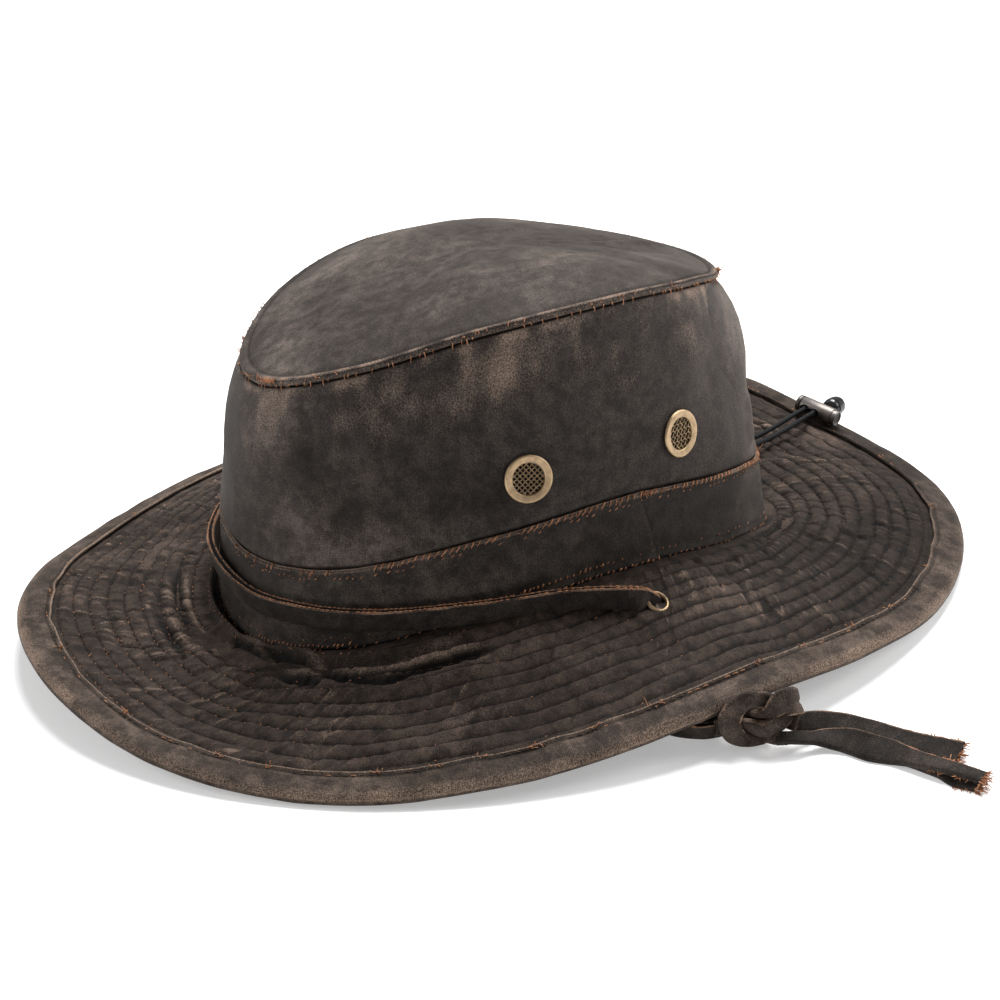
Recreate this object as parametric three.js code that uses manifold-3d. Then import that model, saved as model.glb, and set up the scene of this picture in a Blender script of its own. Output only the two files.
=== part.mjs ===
// A soft waxed-cloth bush hat resting on its brim, millimetres, +Z up.
// The front of the hat faces -Y and the wearer's left is +X.
// Angles run round the head from the front (0) by the wearer's left (90) to the back (180).

import * as THREE from 'three';
import { mergeVertices } from 'three/addons/utils/BufferGeometryUtils.js';
import Module from 'manifold-3d';

const wasm = await Module();
wasm.setup();

// Clearances between pieces
const GAP = 0.3;
const BAND_SEAT = 0.5;
const STRAP_CLEAR = 0.6;
const BINDING_CLEAR = 0.45;
const VENT_SEAT = 0.9;
const GROMMET_SEAT = 0.55;
const CORD_CLEAR = 0.55;
const FLOOR_CLEAR = 0.4;

// Crown
const HEAD_LENGTH = 213;
const HEAD_WIDTH = 170;
const HEAD_SQUARENESS = 2.13;
const TOP_LENGTH = 186;
const TOP_WIDTH = 155;
const TOP_SQUARENESS = 1.8;
const CROWN_RISE = 100;
const DOME_RISE = 17;
const DOME_FULLNESS = 2.2;
const SHOULDER = 5;
const CLOTH = 1.6;
const WALL_LAP = 8;

// Hat band
const BAND_HEIGHT = 30;
const BAND_INSET_FRONT = 3.9;
const BAND_INSET_SIDE = 0.8;

// Brim and its bound edge
const BRIM_WIDTH = 76;
const BRIM_THICK = 2.4;
const BINDING_WIDTH = 12.5;
const BINDING_CLOTH = 0.9;
const BINDING_NOSE = 1.6;

// Chin strap, knot and tails
const STRAP_WIDTH = 9;
const STRAP_THICK = 2.2;
const STRAP_ROLLED_WIDTH = 3.6;
const STRAP_ROLLED_THICK = 2.8;
const KNOT_ANGLE = 86.5;
const KNOT_OUT = 8.5;
const KNOT_WIDTH = 27;
const KNOT_HEIGHT = 20.5;
const KNOT_DEPTH = 14;
const KNOT_STRAND = 6.4;
const KNOT_TURN = 56;
const TAIL_LENGTH = 72;
const BORE_MOUTH = 0.4;
const BORE_MIDDLE = 2.2;
const BORE_TOP = 4.6;
const BORE_FOOT = 3.2;

// Metal trim in the cloth
const VENT_OUTER = 8.5;
const VENT_BORE = 5.5;
const VENT_BARREL = 6.1;
const VENT_BACK = 7.6;
const VENT_PROUD = 1.5;
const VENT_BACK_THICK = 0.8;
const VENT_SCREEN_THICK = 0.6;
const VENT_CUT_IN = 5;
const VENT_CUT_OUT = 4;
const GROMMET_OUTER = 4.1;
const GROMMET_BORE = 2.4;
const GROMMET_BARREL = 3;
const GROMMET_PROUD = 0.9;
const GROMMET_ANGLE = 87;
const GROMMET_SHARE = 0.29;
const GROMMET_CUT = 5;

// Sizing cord and its lock
const CORD_RADIUS = 0.95;
const CORD_HOLE_RISE = 11;
const CORD_SPACING = 4.4;
const LOCK_RADIUS = 3.5;
const LOCK_LENGTH = 14.5;
const LOCK_END_WALL = 1;
const LOCK_BORE = 2.5;
const LOCK_FIRST_HOLE = 5.2;
const LOCK_TILT = 11;
const LOCK_ACROSS = 17;
const PLUNGER_TRAVEL = 1.8;
const PLUNGER_HEAD_RADIUS = 3.1;
const PLUNGER_HEAD_LENGTH = 2;
const BEAD_RADIUS = 4;
const BEAD_LENGTH = 8.4;
const BEAD_BORE_DEPTH = 5;

// Facets
const AROUND = 48;
const TURNED_STEPS = 16;

// Round the crown: rise of the band's foot and of the top seam as shares of CROWN_RISE,
// band height as a share of BAND_HEIGHT, shoulder roundness as a share of SHOULDER
const CROWN_ROWS = [
  { angle: 0, foot: 0.09, band: 1.02, seam: 1.02, shoulder: 0.7 },
  { angle: 30, foot: 0.17, band: 0.96, seam: 1.125, shoulder: 0.6 },
  { angle: 60, foot: 0.295, band: 0.9, seam: 1.25, shoulder: 0.35 },
  { angle: 90, foot: 0.34, band: 0.87, seam: 1.285, shoulder: 0.25 },
  { angle: 120, foot: 0.24, band: 0.88, seam: 1.205, shoulder: 0.5 },
  { angle: 150, foot: 0.11, band: 0.91, seam: 1.085, shoulder: 0.9 },
  { angle: 180, foot: 0.075, band: 0.98, seam: 1.03, shoulder: 1 },
  { angle: 210, foot: 0.15, band: 1.05, seam: 1.055, shoulder: 0.8 },
  { angle: 240, foot: 0.225, band: 1.1, seam: 1.1, shoulder: 0.6 },
  { angle: 270, foot: 0.235, band: 1.13, seam: 1.105, shoulder: 0.4 },
  { angle: 300, foot: 0.18, band: 1.13, seam: 1.06, shoulder: 0.5 },
  { angle: 330, foot: 0.11, band: 1.09, seam: 1.005, shoulder: 0.7 },
];

// Soft dents (in) and folds (out) of the crown wall: place, half spread and depth
const WALL_DENTS = [
  { angle: 100, share: 0.76, angleSpread: 15, shareSpread: 0.2, depth: 1.8 },
  { angle: 122, share: 0.5, angleSpread: 12, shareSpread: 0.2, depth: 2.4 },
  { angle: 20, share: 0.45, angleSpread: 22, shareSpread: 0.3, depth: 1.4 },
  { angle: 60, share: 0.6, angleSpread: 20, shareSpread: 0.25, depth: 1.2 },
  { angle: 172, share: 0.5, angleSpread: 14, shareSpread: 0.3, depth: 2.2 },
  { angle: 230, share: 0.55, angleSpread: 24, shareSpread: 0.3, depth: 1.8 },
  { angle: 300, share: 0.5, angleSpread: 20, shareSpread: 0.3, depth: 1.5 },
  { angle: 152, share: 0.85, angleSpread: 9, shareSpread: 0.16, depth: -1.8 },
  { angle: 148, share: 0.6, angleSpread: 8, shareSpread: 0.16, depth: -2.2 },
  { angle: 137, share: 0.38, angleSpread: 8, shareSpread: 0.14, depth: -1.8 },
];

// Round the brim's edge: rise, reach and upward bow as shares of BRIM_WIDTH
const BRIM_ROWS = [
  { angle: 0, rise: 0.145, reach: 0.985, bow: -0.03 },
  { angle: 18, rise: 0.055, reach: 0.985, bow: -0.035 },
  { angle: 40, rise: 0, reach: 0.98, bow: -0.025 },
  { angle: 62, rise: 0.06, reach: 0.955, bow: -0.01 },
  { angle: 88, rise: 0.17, reach: 0.93, bow: 0 },
  { angle: 106, rise: 0.11, reach: 0.94, bow: 0 },
  { angle: 124, rise: 0.03, reach: 0.97, bow: 0.01 },
  { angle: 150, rise: 0.02, reach: 1, bow: 0.045 },
  { angle: 172, rise: 0.005, reach: 1, bow: 0.045 },
  { angle: 186, rise: 0.045, reach: 1, bow: 0.035 },
  { angle: 202, rise: 0.185, reach: 0.995, bow: 0.025 },
  { angle: 218, rise: 0.26, reach: 0.99, bow: 0.01 },
  { angle: 236, rise: 0.17, reach: 0.98, bow: -0.02 },
  { angle: 258, rise: 0.045, reach: 0.96, bow: -0.02 },
  { angle: 285, rise: 0.01, reach: 0.96, bow: 0.005 },
  { angle: 305, rise: 0.02, reach: 0.975, bow: 0 },
  { angle: 322, rise: 0.11, reach: 0.985, bow: 0 },
  { angle: 342, rise: 0.185, reach: 0.985, bow: -0.01 },
];

// Creases (down) and rolls (up) of the brim near the crown: half spreads and depth in mm
const BRIM_CREASES = [
  { angle: 30, out: 9.5, angleSpread: 26, outSpread: 3.6, depth: 4 },
  { angle: 358, out: 13, angleSpread: 20, outSpread: 4, depth: 3 },
  { angle: 20, out: 4, angleSpread: 40, outSpread: 3, depth: -0.9 },
  { angle: 140, out: 8, angleSpread: 14, outSpread: 4, depth: 1.8 },
  { angle: 20, out: 20, angleSpread: 34, outSpread: 6, depth: -1.4 },
];

// Distances out from the crown of the brim's rings, as shares of its width
const BRIM_RINGS = [-0.03, 0.02, 0.065, 0.115, 0.17, 0.27, 0.45, 0.65, 0.86];

// Chin strap round the front: height as a share of the band, distance away from it as a share
// of BRIM_WIDTH, lean of its top edge away from the crown in degrees
const STRAP_ROWS = [
  { angle: 81, up: 0.06, away: 0.17, lean: -10 },
  { angle: 75, up: 0.1, away: 0.1, lean: 0 },
  { angle: 62, up: 0.15, away: 0.03, lean: 6 },
  { angle: 52, up: 0.21, away: 0.008, lean: 8 },
  { angle: 42, up: 0.28, away: 0.004, lean: 8 },
  { angle: 30, up: 0.35, away: 0.004, lean: 8 },
  { angle: 18, up: 0.45, away: 0.004, lean: 8 },
  { angle: 6, up: 0.49, away: 0.004, lean: 8 },
  { angle: -6, up: 0.52, away: 0.004, lean: 8 },
  { angle: -18, up: 0.51, away: 0.004, lean: 8 },
  { angle: -30, up: 0.48, away: 0.006, lean: 8 },
  { angle: -45, up: 0.4, away: 0.012, lean: 8 },
  { angle: -60, up: 0.27, away: 0.04, lean: 6 },
  { angle: -72, up: 0.17, away: 0.1, lean: 0 },
  { angle: -81, up: 0.1, away: 0.17, lean: -10 },
];

// The strap from the far grommet over the floor to the knot: shares of the way between the
// two grommets, sideways and upward shares of HEAD_LENGTH
const FAR_RUN_ROWS = [
  { along: 0.03, side: -0.01, up: 0.006 },
  { along: 0.22, side: -0.04, up: 0 },
  { along: 0.5, side: -0.075, up: 0 },
  { along: 0.8, side: -0.095, up: 0 },
  { along: 1.06, side: -0.1, up: 0.007 },
];

// The two tails: distance from the knot along and across as shares of TAIL_LENGTH, twist of
// the tape from flat in degrees
const UPPER_TAIL_ROWS = [
  { along: 0.15, across: 0.14, up: 0.12, twist: 60 },
  { along: 0.3, across: 0.2, up: 0.085, twist: 52 },
  { along: 0.52, across: 0.24, up: 0.07, twist: 40 },
  { along: 0.76, across: 0.27, up: 0.055, twist: 30 },
  { along: 0.92, across: 0.2, up: 0.05, twist: 24 },
];
const LOWER_TAIL_ROWS = [
  { along: 0.192, across: 0.005, up: 0.065, twist: 30 },
  { along: 0.34, across: 0.02, up: 0.035, twist: 14 },
  { along: 0.5, across: -0.01, up: 0.035, twist: 18 },
  { along: 0.72, across: 0.02, up: 0.05, twist: 32 },
  { along: 0.88, across: 0.03, up: 0.04, twist: 20 },
  { along: 1.06, across: 0.06, up: 0.03, twist: 14 },
];

// The sizing cord from the back of the band to its lock: shares of the way and sag in mm
const CORD_REACH = 67;
const CORD_DRIFT = 19;
const LOCK_RISE = 14.8;

// Four vents: angle round the crown and share of the wall height
const VENTS = [
  { name: 'left_front', angle: 68.5, share: 0.25 },
  { name: 'left_back', angle: 104.6, share: 0.27 },
  { name: 'right_front', angle: -68.5, share: 0.25 },
  { name: 'right_back', angle: -104.6, share: 0.27 },
];

const colours = {
  cloth: 0x3b332d,
  binding: 0x5a4a3d,
  brass: 0x9a8662,
  gunmetal: 0x6b6864,
  black: 0x17181a,
};

const radians = (degrees) => degrees * Math.PI / 180;
const mix = (a, b, share) => a + (b - a) * share;
const bell = (distance, spread) => Math.exp(-((distance / spread) ** 2));

function angleBetween(a, b) {
  return ((a - b + 540) % 360 + 360) % 360 - 180;
}

// Smooth closed curve through the rows of a table, at an angle in degrees
function around(rows, column, angle) {
  const turn = ((angle % 360) + 360) % 360;
  const count = rows.length;
  let first = count - 1;
  for (let i = 0; i < count; i += 1) {
    if (rows[i].angle <= turn) first = i;
  }
  const place = (i) => rows[((i % count) + count) % count].angle + 360 * Math.floor(i / count);
  const value = (i) => rows[((i % count) + count) % count][column];
  const slope = (i) => (value(i + 1) - value(i - 1)) / (place(i + 1) - place(i - 1));
  const span = place(first + 1) - place(first);
  const t = (turn - place(first)) / span;
  const a = (1 + 2 * t) * (1 - t) ** 2;
  const b = t * (1 - t) ** 2;
  const c = t ** 2 * (3 - 2 * t);
  const d = t ** 2 * (t - 1);
  return a * value(first) + b * span * slope(first) + c * value(first + 1) + d * span * slope(first + 1);
}

function oval(angle, length, width, squareness) {
  const c = Math.cos(radians(angle));
  const s = Math.sin(radians(angle));
  const size = (Math.abs(c) ** squareness + Math.abs(s) ** squareness) ** (-1 / squareness);
  return new THREE.Vector3(width / 2 * s * size, -length / 2 * c * size, 0);
}

function outward(angle) {
  return new THREE.Vector3(Math.sin(radians(angle)), -Math.cos(radians(angle)), 0);
}

function footPoint(angle) {
  const point = oval(angle, HEAD_LENGTH, HEAD_WIDTH, HEAD_SQUARENESS);
  point.z = CROWN_RISE * around(CROWN_ROWS, 'foot', angle);
  return point;
}

function bandTopPoint(angle) {
  const length = HEAD_LENGTH - 2 * BAND_INSET_FRONT;
  const width = HEAD_WIDTH - 2 * BAND_INSET_SIDE;
  const point = oval(angle, length, width, HEAD_SQUARENESS);
  point.z = footPoint(angle).z + BAND_HEIGHT * around(CROWN_ROWS, 'band', angle);
  return point;
}

function bandPoint(angle, share) {
  return footPoint(angle).lerp(bandTopPoint(angle), share);
}

function seamPoint(angle) {
  const point = oval(angle, TOP_LENGTH, TOP_WIDTH, TOP_SQUARENESS);
  point.z = CROWN_RISE * around(CROWN_ROWS, 'seam', angle);
  return point;
}

// Outer face of the crown wall, from the band's top edge (0) to the top seam (1)
function wallPoint(angle, share) {
  const point = bandTopPoint(angle).lerp(seamPoint(angle), share);
  const round = 1.5 * share * (1 - share ** 6);
  let push = SHOULDER * around(CROWN_ROWS, 'shoulder', angle) * round;
  for (const dent of WALL_DENTS) {
    const near = bell(angleBetween(angle, dent.angle), dent.angleSpread);
    push -= dent.depth * near * bell(share - dent.share, dent.shareSpread) * Math.min(1, 4 * (1 - share));
  }
  return point.addScaledVector(outward(angle), push * Math.min(1, share / 0.08));
}

function edgePoint(angle) {
  const reach = BRIM_WIDTH * around(BRIM_ROWS, 'reach', angle);
  const point = outward(angle);
  point.x *= HEAD_WIDTH / 2 + reach;
  point.y *= HEAD_LENGTH / 2 + reach;
  point.z = BRIM_WIDTH * around(BRIM_ROWS, 'rise', angle);
  return point;
}

// Middle of the brim's thickness, from the crown (0) to the edge (1)
function brimPoint(angle, share) {
  const foot = footPoint(angle);
  foot.z -= BRIM_THICK / 2;
  const point = foot.clone().lerp(edgePoint(angle), share);
  if (share < 0) return point.setZ(foot.z);
  const width = BRIM_WIDTH * around(BRIM_ROWS, 'reach', angle);
  point.z += BRIM_WIDTH * around(BRIM_ROWS, 'bow', angle) * 4 * share * (1 - share);
  for (const crease of BRIM_CREASES) {
    const near = bell(angleBetween(angle, crease.angle), crease.angleSpread);
    const start = Math.min(1, share * width / 3);
    point.z -= crease.depth * near * start * bell(share * width - crease.out, crease.outSpread);
  }
  return point;
}

function brimNormal(angle, share) {
  const across = brimPoint(angle, share + 0.03).sub(brimPoint(angle, share - 0.03));
  const along = brimPoint(angle + 2, share).sub(brimPoint(angle - 2, share));
  return across.cross(along).normalize();
}

// Direction across the brim at its edge and the upward direction square to it
function edgeFrame(angle) {
  const end = edgePoint(angle);
  const out = end.clone().sub(brimPoint(angle, 0.84)).normalize();
  const along = edgePoint(angle + 2).sub(edgePoint(angle - 2)).normalize();
  const up = out.clone().cross(along).normalize();
  return { end, out, up };
}

// Section of the folded binding tape round the brim's edge
function bindingSection(angle) {
  const { end, out, up } = edgeFrame(angle);
  const inside = BRIM_THICK / 2 + BINDING_CLEAR;
  const outside = inside + BINDING_CLOTH;
  const profile = [
    [-BINDING_WIDTH, outside],
    [-BINDING_NOSE, outside],
    [0, outside * 0.4],
    [0, -outside * 0.4],
    [-BINDING_NOSE, -outside],
    [-BINDING_WIDTH, -outside],
    [-BINDING_WIDTH, -inside],
    [-BINDING_CLOTH - 0.5, -inside],
    [-BINDING_CLOTH - 0.5, inside],
    [-BINDING_WIDTH, inside],
  ];
  return profile.map(([across, rise]) => end.clone().addScaledVector(out, across).addScaledVector(up, rise));
}

// The hat rests on the lowest places of its bound edge
function restingLift() {
  let lowest = 0;
  for (let i = 0; i < AROUND; i += 1) {
    for (const point of bindingSection(i * 360 / AROUND)) lowest = Math.min(lowest, point.z);
  }
  return -lowest;
}

function solid(positions, indices) {
  const body = new THREE.BufferGeometry();
  body.setAttribute('position', new THREE.Float32BufferAttribute(positions.flatMap((p) => [p.x, p.y, p.z]), 3));
  let volume = 0;
  const cross = new THREE.Vector3();
  for (let i = 0; i < indices.length; i += 3) {
    cross.crossVectors(positions[indices[i + 1]], positions[indices[i + 2]]);
    volume += positions[indices[i]].dot(cross);
  }
  const faces = [];
  for (let i = 0; i < indices.length; i += 3) {
    const [a, b, c] = indices.slice(i, i + 3);
    if (volume > 0) faces.push(a, b, c);
    else faces.push(a, c, b);
  }
  body.setIndex(faces);
  return body;
}

// Closed body through matching section outlines; a ring when closed, otherwise capped
function loft(sections, closed) {
  const positions = sections.flat();
  const sides = sections[0].length;
  const indices = [];
  const spans = closed ? sections.length : sections.length - 1;
  for (let i = 0; i < spans; i += 1) {
    const here = i * sides;
    const next = ((i + 1) % sections.length) * sides;
    for (let j = 0; j < sides; j += 1) {
      const k = (j + 1) % sides;
      indices.push(here + j, next + j, next + k, here + j, next + k, here + k);
    }
  }
  if (!closed) {
    const last = (sections.length - 1) * sides;
    for (let j = 1; j < sides - 1; j += 1) {
      indices.push(0, j, j + 1);
      indices.push(last, last + j + 1, last + j);
    }
  }
  return solid(positions, indices);
}

function ringOf(sectionAt, steps = AROUND) {
  const sections = [];
  for (let i = 0; i < steps; i += 1) sections.push(sectionAt(i * 360 / steps));
  return loft(sections, true);
}

// A place with its own directions: x along `side`, z along `axis`
function placeAt(origin, axis, side) {
  const z = axis.clone().normalize();
  const x = side.clone().addScaledVector(z, -side.dot(z)).normalize();
  const y = z.clone().cross(x);
  return new THREE.Matrix4().makeBasis(x, y, z).setPosition(origin);
}

// Position and faces alone, with shared corners, faces pointing out
function merged(geometry) {
  geometry.deleteAttribute('normal');
  geometry.deleteAttribute('uv');
  const joined = mergeVertices(geometry, 1e-4);
  const source = joined.attributes.position;
  const positions = [];
  for (let i = 0; i < source.count; i += 1) positions.push(new THREE.Vector3().fromBufferAttribute(source, i));
  const indices = [];
  const index = Array.from(joined.index.array);
  for (let i = 0; i < index.length; i += 3) {
    const [p, q, r] = index.slice(i, i + 3);
    if (p !== q && q !== r && r !== p) indices.push(p, q, r);
  }
  return solid(positions, indices);
}

// Body turned about z from an outline of [radius, height]: it ends on the axis or is closed
function turned(outline, place, steps = TURNED_STEPS) {
  const points = outline.map(([radius, height]) => new THREE.Vector2(radius, height));
  if (outline[0][0] !== 0) points.push(points[0].clone());
  const body = new THREE.LatheGeometry(points, steps);
  body.rotateX(Math.PI / 2);
  body.applyMatrix4(place);
  return merged(body);
}

function rod(radius, from, to, place, steps = TURNED_STEPS) {
  return turned([[0, from], [radius, from], [radius, to], [0, to]], place, steps);
}

function toManifold(geometry) {
  const vertProperties = new Float32Array(geometry.attributes.position.array);
  const triVerts = new Uint32Array(geometry.index.array);
  return new wasm.Manifold(new wasm.Mesh({ numProp: 3, vertProperties, triVerts }));
}

function cutAway(geometry, cutters) {
  let body = toManifold(geometry);
  for (const cutter of cutters) body = body.subtract(toManifold(cutter));
  const mesh = body.getMesh();
  const cut = new THREE.BufferGeometry();
  cut.setAttribute('position', new THREE.Float32BufferAttribute(mesh.vertProperties, 3));
  cut.setIndex(Array.from(mesh.triVerts));
  return cut;
}

// Eight-sided outline of a flat folded tape, two units wide and two thick
const TAPE_OUTLINE = new THREE.Shape([
  new THREE.Vector2(1, 0.5), new THREE.Vector2(0.86, 1), new THREE.Vector2(-0.86, 1), new THREE.Vector2(-1, 0.5),
  new THREE.Vector2(-1, -0.5), new THREE.Vector2(-0.86, -1), new THREE.Vector2(0.86, -1), new THREE.Vector2(1, -0.5),
]);

// Straight extruded tape bent along stations {at, wide, width, thick}, `wide` along its width
function tape(stations, steps) {
  const curve = new THREE.CatmullRomCurve3(stations.map((stop) => stop.at), false, 'centripetal');
  const straight = new THREE.ExtrudeGeometry(TAPE_OUTLINE, { depth: 1, steps, bevelEnabled: false });
  const source = straight.attributes.position;
  for (let i = 0; i < source.count; i += 1) {
    const t = Math.min(1, Math.max(0, source.getZ(i)));
    const place = t * (stations.length - 1);
    const first = Math.min(stations.length - 2, Math.floor(place));
    const a = stations[first];
    const b = stations[first + 1];
    const along = curve.getTangent(t);
    const wide = a.wide.clone().lerp(b.wide, place - first);
    wide.addScaledVector(along, -wide.dot(along)).normalize();
    const thin = along.clone().cross(wide);
    const point = curve.getPoint(t);
    point.addScaledVector(wide, source.getX(i) * mix(a.width, b.width, place - first) / 2);
    point.addScaledVector(thin, source.getY(i) * mix(a.thick, b.thick, place - first) / 2);
    source.setXYZ(i, point.x, point.y, point.z);
  }
  return merged(straight);
}

// Round cord through points
function roundCord(points, radius, steps, sides = 8) {
  const outline = [];
  for (let i = 0; i < sides; i += 1) {
    const turn = 2 * Math.PI * i / sides;
    outline.push(new THREE.Vector2(radius * Math.cos(turn), radius * Math.sin(turn)));
  }
  const extrudePath = new THREE.CatmullRomCurve3(points, false, 'centripetal');
  return merged(new THREE.ExtrudeGeometry(new THREE.Shape(outline), { steps, extrudePath, bevelEnabled: false }));
}

const lift = restingLift();
const raise = new THREE.Vector3(0, 0, lift);

// Crown top panel: a dome lying on the upper end of the wall
function crownTop() {
  const centre = new THREE.Vector3(0, 0, CROWN_RISE * (around(CROWN_ROWS, 'seam', 0) + around(CROWN_ROWS, 'seam', 180)
    + around(CROWN_ROWS, 'seam', 90) + around(CROWN_ROWS, 'seam', 270)) / 4);
  const domePoint = (angle, share, drop) => {
    const point = seamPoint(angle).lerp(centre, share);
    point.z += DOME_RISE * (1 - (1 - share) ** DOME_FULLNESS) - drop;
    return point;
  };
  const outerShares = [0.015, 0.1, 0.25, 0.45, 0.7];
  const innerShares = [0.7, 0.45, 0.25, 0.1];
  const positions = [];
  const indices = [];
  const rings = [];
  const addRing = (pointAt) => {
    const ring = [];
    for (let i = 0; i < AROUND; i += 1) {
      positions.push(pointAt(i * 360 / AROUND));
      ring.push(positions.length - 1);
    }
    rings.push(ring);
  };
  const rise = CLOTH;
  positions.push(domePoint(0, 1, -rise));
  for (const share of [...outerShares].reverse()) addRing((angle) => domePoint(angle, share, -rise));
  addRing((angle) => seamPoint(angle).addScaledVector(outward(angle), 0.3).setZ(seamPoint(angle).z + CLOTH * 0.6));
  addRing((angle) => seamPoint(angle));
  addRing((angle) => domePoint(angle, 0.035, 0));
  for (const share of [...innerShares].reverse()) addRing((angle) => domePoint(angle, share, 0));
  positions.push(domePoint(0, 1, 0));
  const last = positions.length - 1;
  for (let i = 0; i < AROUND; i += 1) {
    const k = (i + 1) % AROUND;
    indices.push(0, rings[0][i], rings[0][k]);
    for (let r = 0; r < rings.length - 1; r += 1) {
      const a = rings[r];
      const b = rings[r + 1];
      indices.push(a[i], b[i], b[k], a[i], b[k], a[k]);
    }
    indices.push(last, rings[rings.length - 1][k], rings[rings.length - 1][i]);
  }
  for (const point of positions) point.add(raise);
  return solid(positions, indices);
}

// Crown wall: its lower end is lapped inside the band
function crownWall() {
  const inset = CLOTH + GAP;
  return ringOf((angle) => {
    const out = outward(angle);
    const top = bandTopPoint(angle);
    const lapped = (drop, depth) => {
      const point = top.clone().addScaledVector(out, -depth);
      point.z -= drop;
      return point;
    };
    const shares = [0.07, 0.28, 0.52, 0.76, 0.92, 1];
    const outer = shares.map((share) => wallPoint(angle, share));
    outer[outer.length - 1].z -= GAP;
    const inner = [0.92, 0.76, 0.52, 0.28, 0.07].map((share) => wallPoint(angle, share).addScaledVector(out, -CLOTH));
    const innerTop = outer[outer.length - 1].clone().addScaledVector(out, -CLOTH);
    const section = [lapped(WALL_LAP, inset), lapped(-0.6, inset), ...outer, innerTop, ...inner];
    section.push(lapped(-0.6, inset + CLOTH), lapped(WALL_LAP, inset + CLOTH));
    return section.map((point) => point.add(raise));
  });
}

function hatBand() {
  return ringOf((angle) => {
    const out = outward(angle);
    const outer = [0, 0.5, 1].map((share) => bandPoint(angle, share));
    outer[0].z += BAND_SEAT;
    const inner = [...outer].reverse().map((point) => point.clone().addScaledVector(out, -CLOTH));
    return [...outer, ...inner].map((point) => point.add(raise));
  });
}

function brimBody() {
  const upper = [...BRIM_RINGS];
  return ringOf((angle) => {
    const { end, out, up } = edgeFrame(angle);
    const half = BRIM_THICK / 2;
    const rim = -BINDING_CLOTH - 0.5 - BINDING_CLEAR;
    const rimTop = end.clone().addScaledVector(out, rim).addScaledVector(up, half);
    const rimLow = end.clone().addScaledVector(out, rim).addScaledVector(up, -half);
    const top = upper.map((share) => brimPoint(angle, share));
    const low = upper.map((share) => brimPoint(angle, share));
    for (const point of top) point.z += half;
    for (const point of low) point.z -= half;
    return [...top, rimTop, rimLow, ...low.reverse()].map((point) => point.add(raise));
  });
}

// Places of the vents and grommets, with their outward directions
function ventPlace(vent) {
  const at = wallPoint(vent.angle, vent.share);
  const up = wallPoint(vent.angle, vent.share + 0.08).sub(wallPoint(vent.angle, vent.share - 0.08));
  const along = wallPoint(vent.angle + 4, vent.share).sub(wallPoint(vent.angle - 4, vent.share));
  return placeAt(at.add(raise), along.cross(up), up);
}

function grommetPlace(angle) {
  const at = brimPoint(angle, GROMMET_SHARE);
  return placeAt(at.add(raise), brimNormal(angle, GROMMET_SHARE), outward(angle));
}

function ventRing(place) {
  return turned([
    [VENT_BORE, VENT_PROUD * 0.6], [VENT_BARREL, VENT_PROUD], [VENT_OUTER * 0.92, VENT_PROUD * 0.8],
    [VENT_OUTER, GAP], [VENT_BARREL, GAP], [VENT_BARREL, -CLOTH - VENT_SEAT], [VENT_BACK, -CLOTH - VENT_SEAT],
    [VENT_BACK, -CLOTH - VENT_SEAT - VENT_BACK_THICK], [VENT_BORE, -CLOTH - VENT_SEAT - VENT_BACK_THICK],
  ], place, 14);
}

function ventScreen(place) {
  return rod(VENT_BORE - GAP, -VENT_SCREEN_THICK, 0, place, 14);
}

function grommetRing(place) {
  const seat = BRIM_THICK / 2 + GROMMET_SEAT;
  const proud = seat + GROMMET_PROUD;
  return turned([
    [GROMMET_BORE, proud * 0.85], [GROMMET_BARREL, proud], [GROMMET_OUTER, seat], [GROMMET_BARREL, seat],
    [GROMMET_BARREL, -seat], [GROMMET_OUTER, -seat], [GROMMET_BARREL, -proud], [GROMMET_BORE, -proud * 0.85],
  ], place, 14);
}

function station(at, wide, width = STRAP_WIDTH, thick = STRAP_THICK) {
  return { at, wide, width, thick };
}

// Stations through a grommet's bore, `near` to `far` along its axis
function boreStations(place, heights, side) {
  const axis = new THREE.Vector3().setFromMatrixColumn(place, 2);
  const centre = new THREE.Vector3().setFromMatrixPosition(place);
  return heights.map((height) => station(
    centre.clone().addScaledVector(axis, height),
    side,
    STRAP_ROLLED_WIDTH,
    STRAP_ROLLED_THICK,
  ));
}

function strapFront(nearPlace, farPlace) {
  const side = new THREE.Vector3(0, 1, 0);
  const middle = STRAP_ROWS.map((row) => {
    const out = outward(row.angle);
    const at = bandPoint(row.angle, row.up).add(raise);
    at.addScaledVector(out, STRAP_THICK / 2 + STRAP_CLEAR + BRIM_WIDTH * row.away);
    const lean = radians(row.lean);
    at.addScaledVector(out, STRAP_WIDTH / 2 * Math.abs(Math.sin(lean)));
    return station(at, new THREE.Vector3(0, 0, Math.cos(lean)).addScaledVector(out, Math.sin(lean)));
  });
  const near = boreStations(nearPlace, [BORE_MOUTH, BORE_MIDDLE, BORE_TOP], side);
  const far = boreStations(farPlace, [BORE_TOP, BORE_MIDDLE, BORE_MOUTH], side);
  return tape([...near, ...middle, ...far], 44);
}

const nearGrommet = grommetPlace(GROMMET_ANGLE);
const farGrommet = grommetPlace(-GROMMET_ANGLE);
const nearPoint = new THREE.Vector3().setFromMatrixPosition(nearGrommet);
const farPoint = new THREE.Vector3().setFromMatrixPosition(farGrommet);

const knotCentre = edgePoint(KNOT_ANGLE).setZ(KNOT_HEIGHT / 2);
knotCentre.addScaledVector(outward(KNOT_ANGLE), KNOT_OUT);
const knotRight = new THREE.Vector3(Math.cos(radians(KNOT_TURN)), Math.sin(radians(KNOT_TURN)), 0);
const knotFront = new THREE.Vector3(Math.sin(radians(KNOT_TURN)), -Math.cos(radians(KNOT_TURN)), 0);
const flat = new THREE.Vector3(0, 0, 1);

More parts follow.
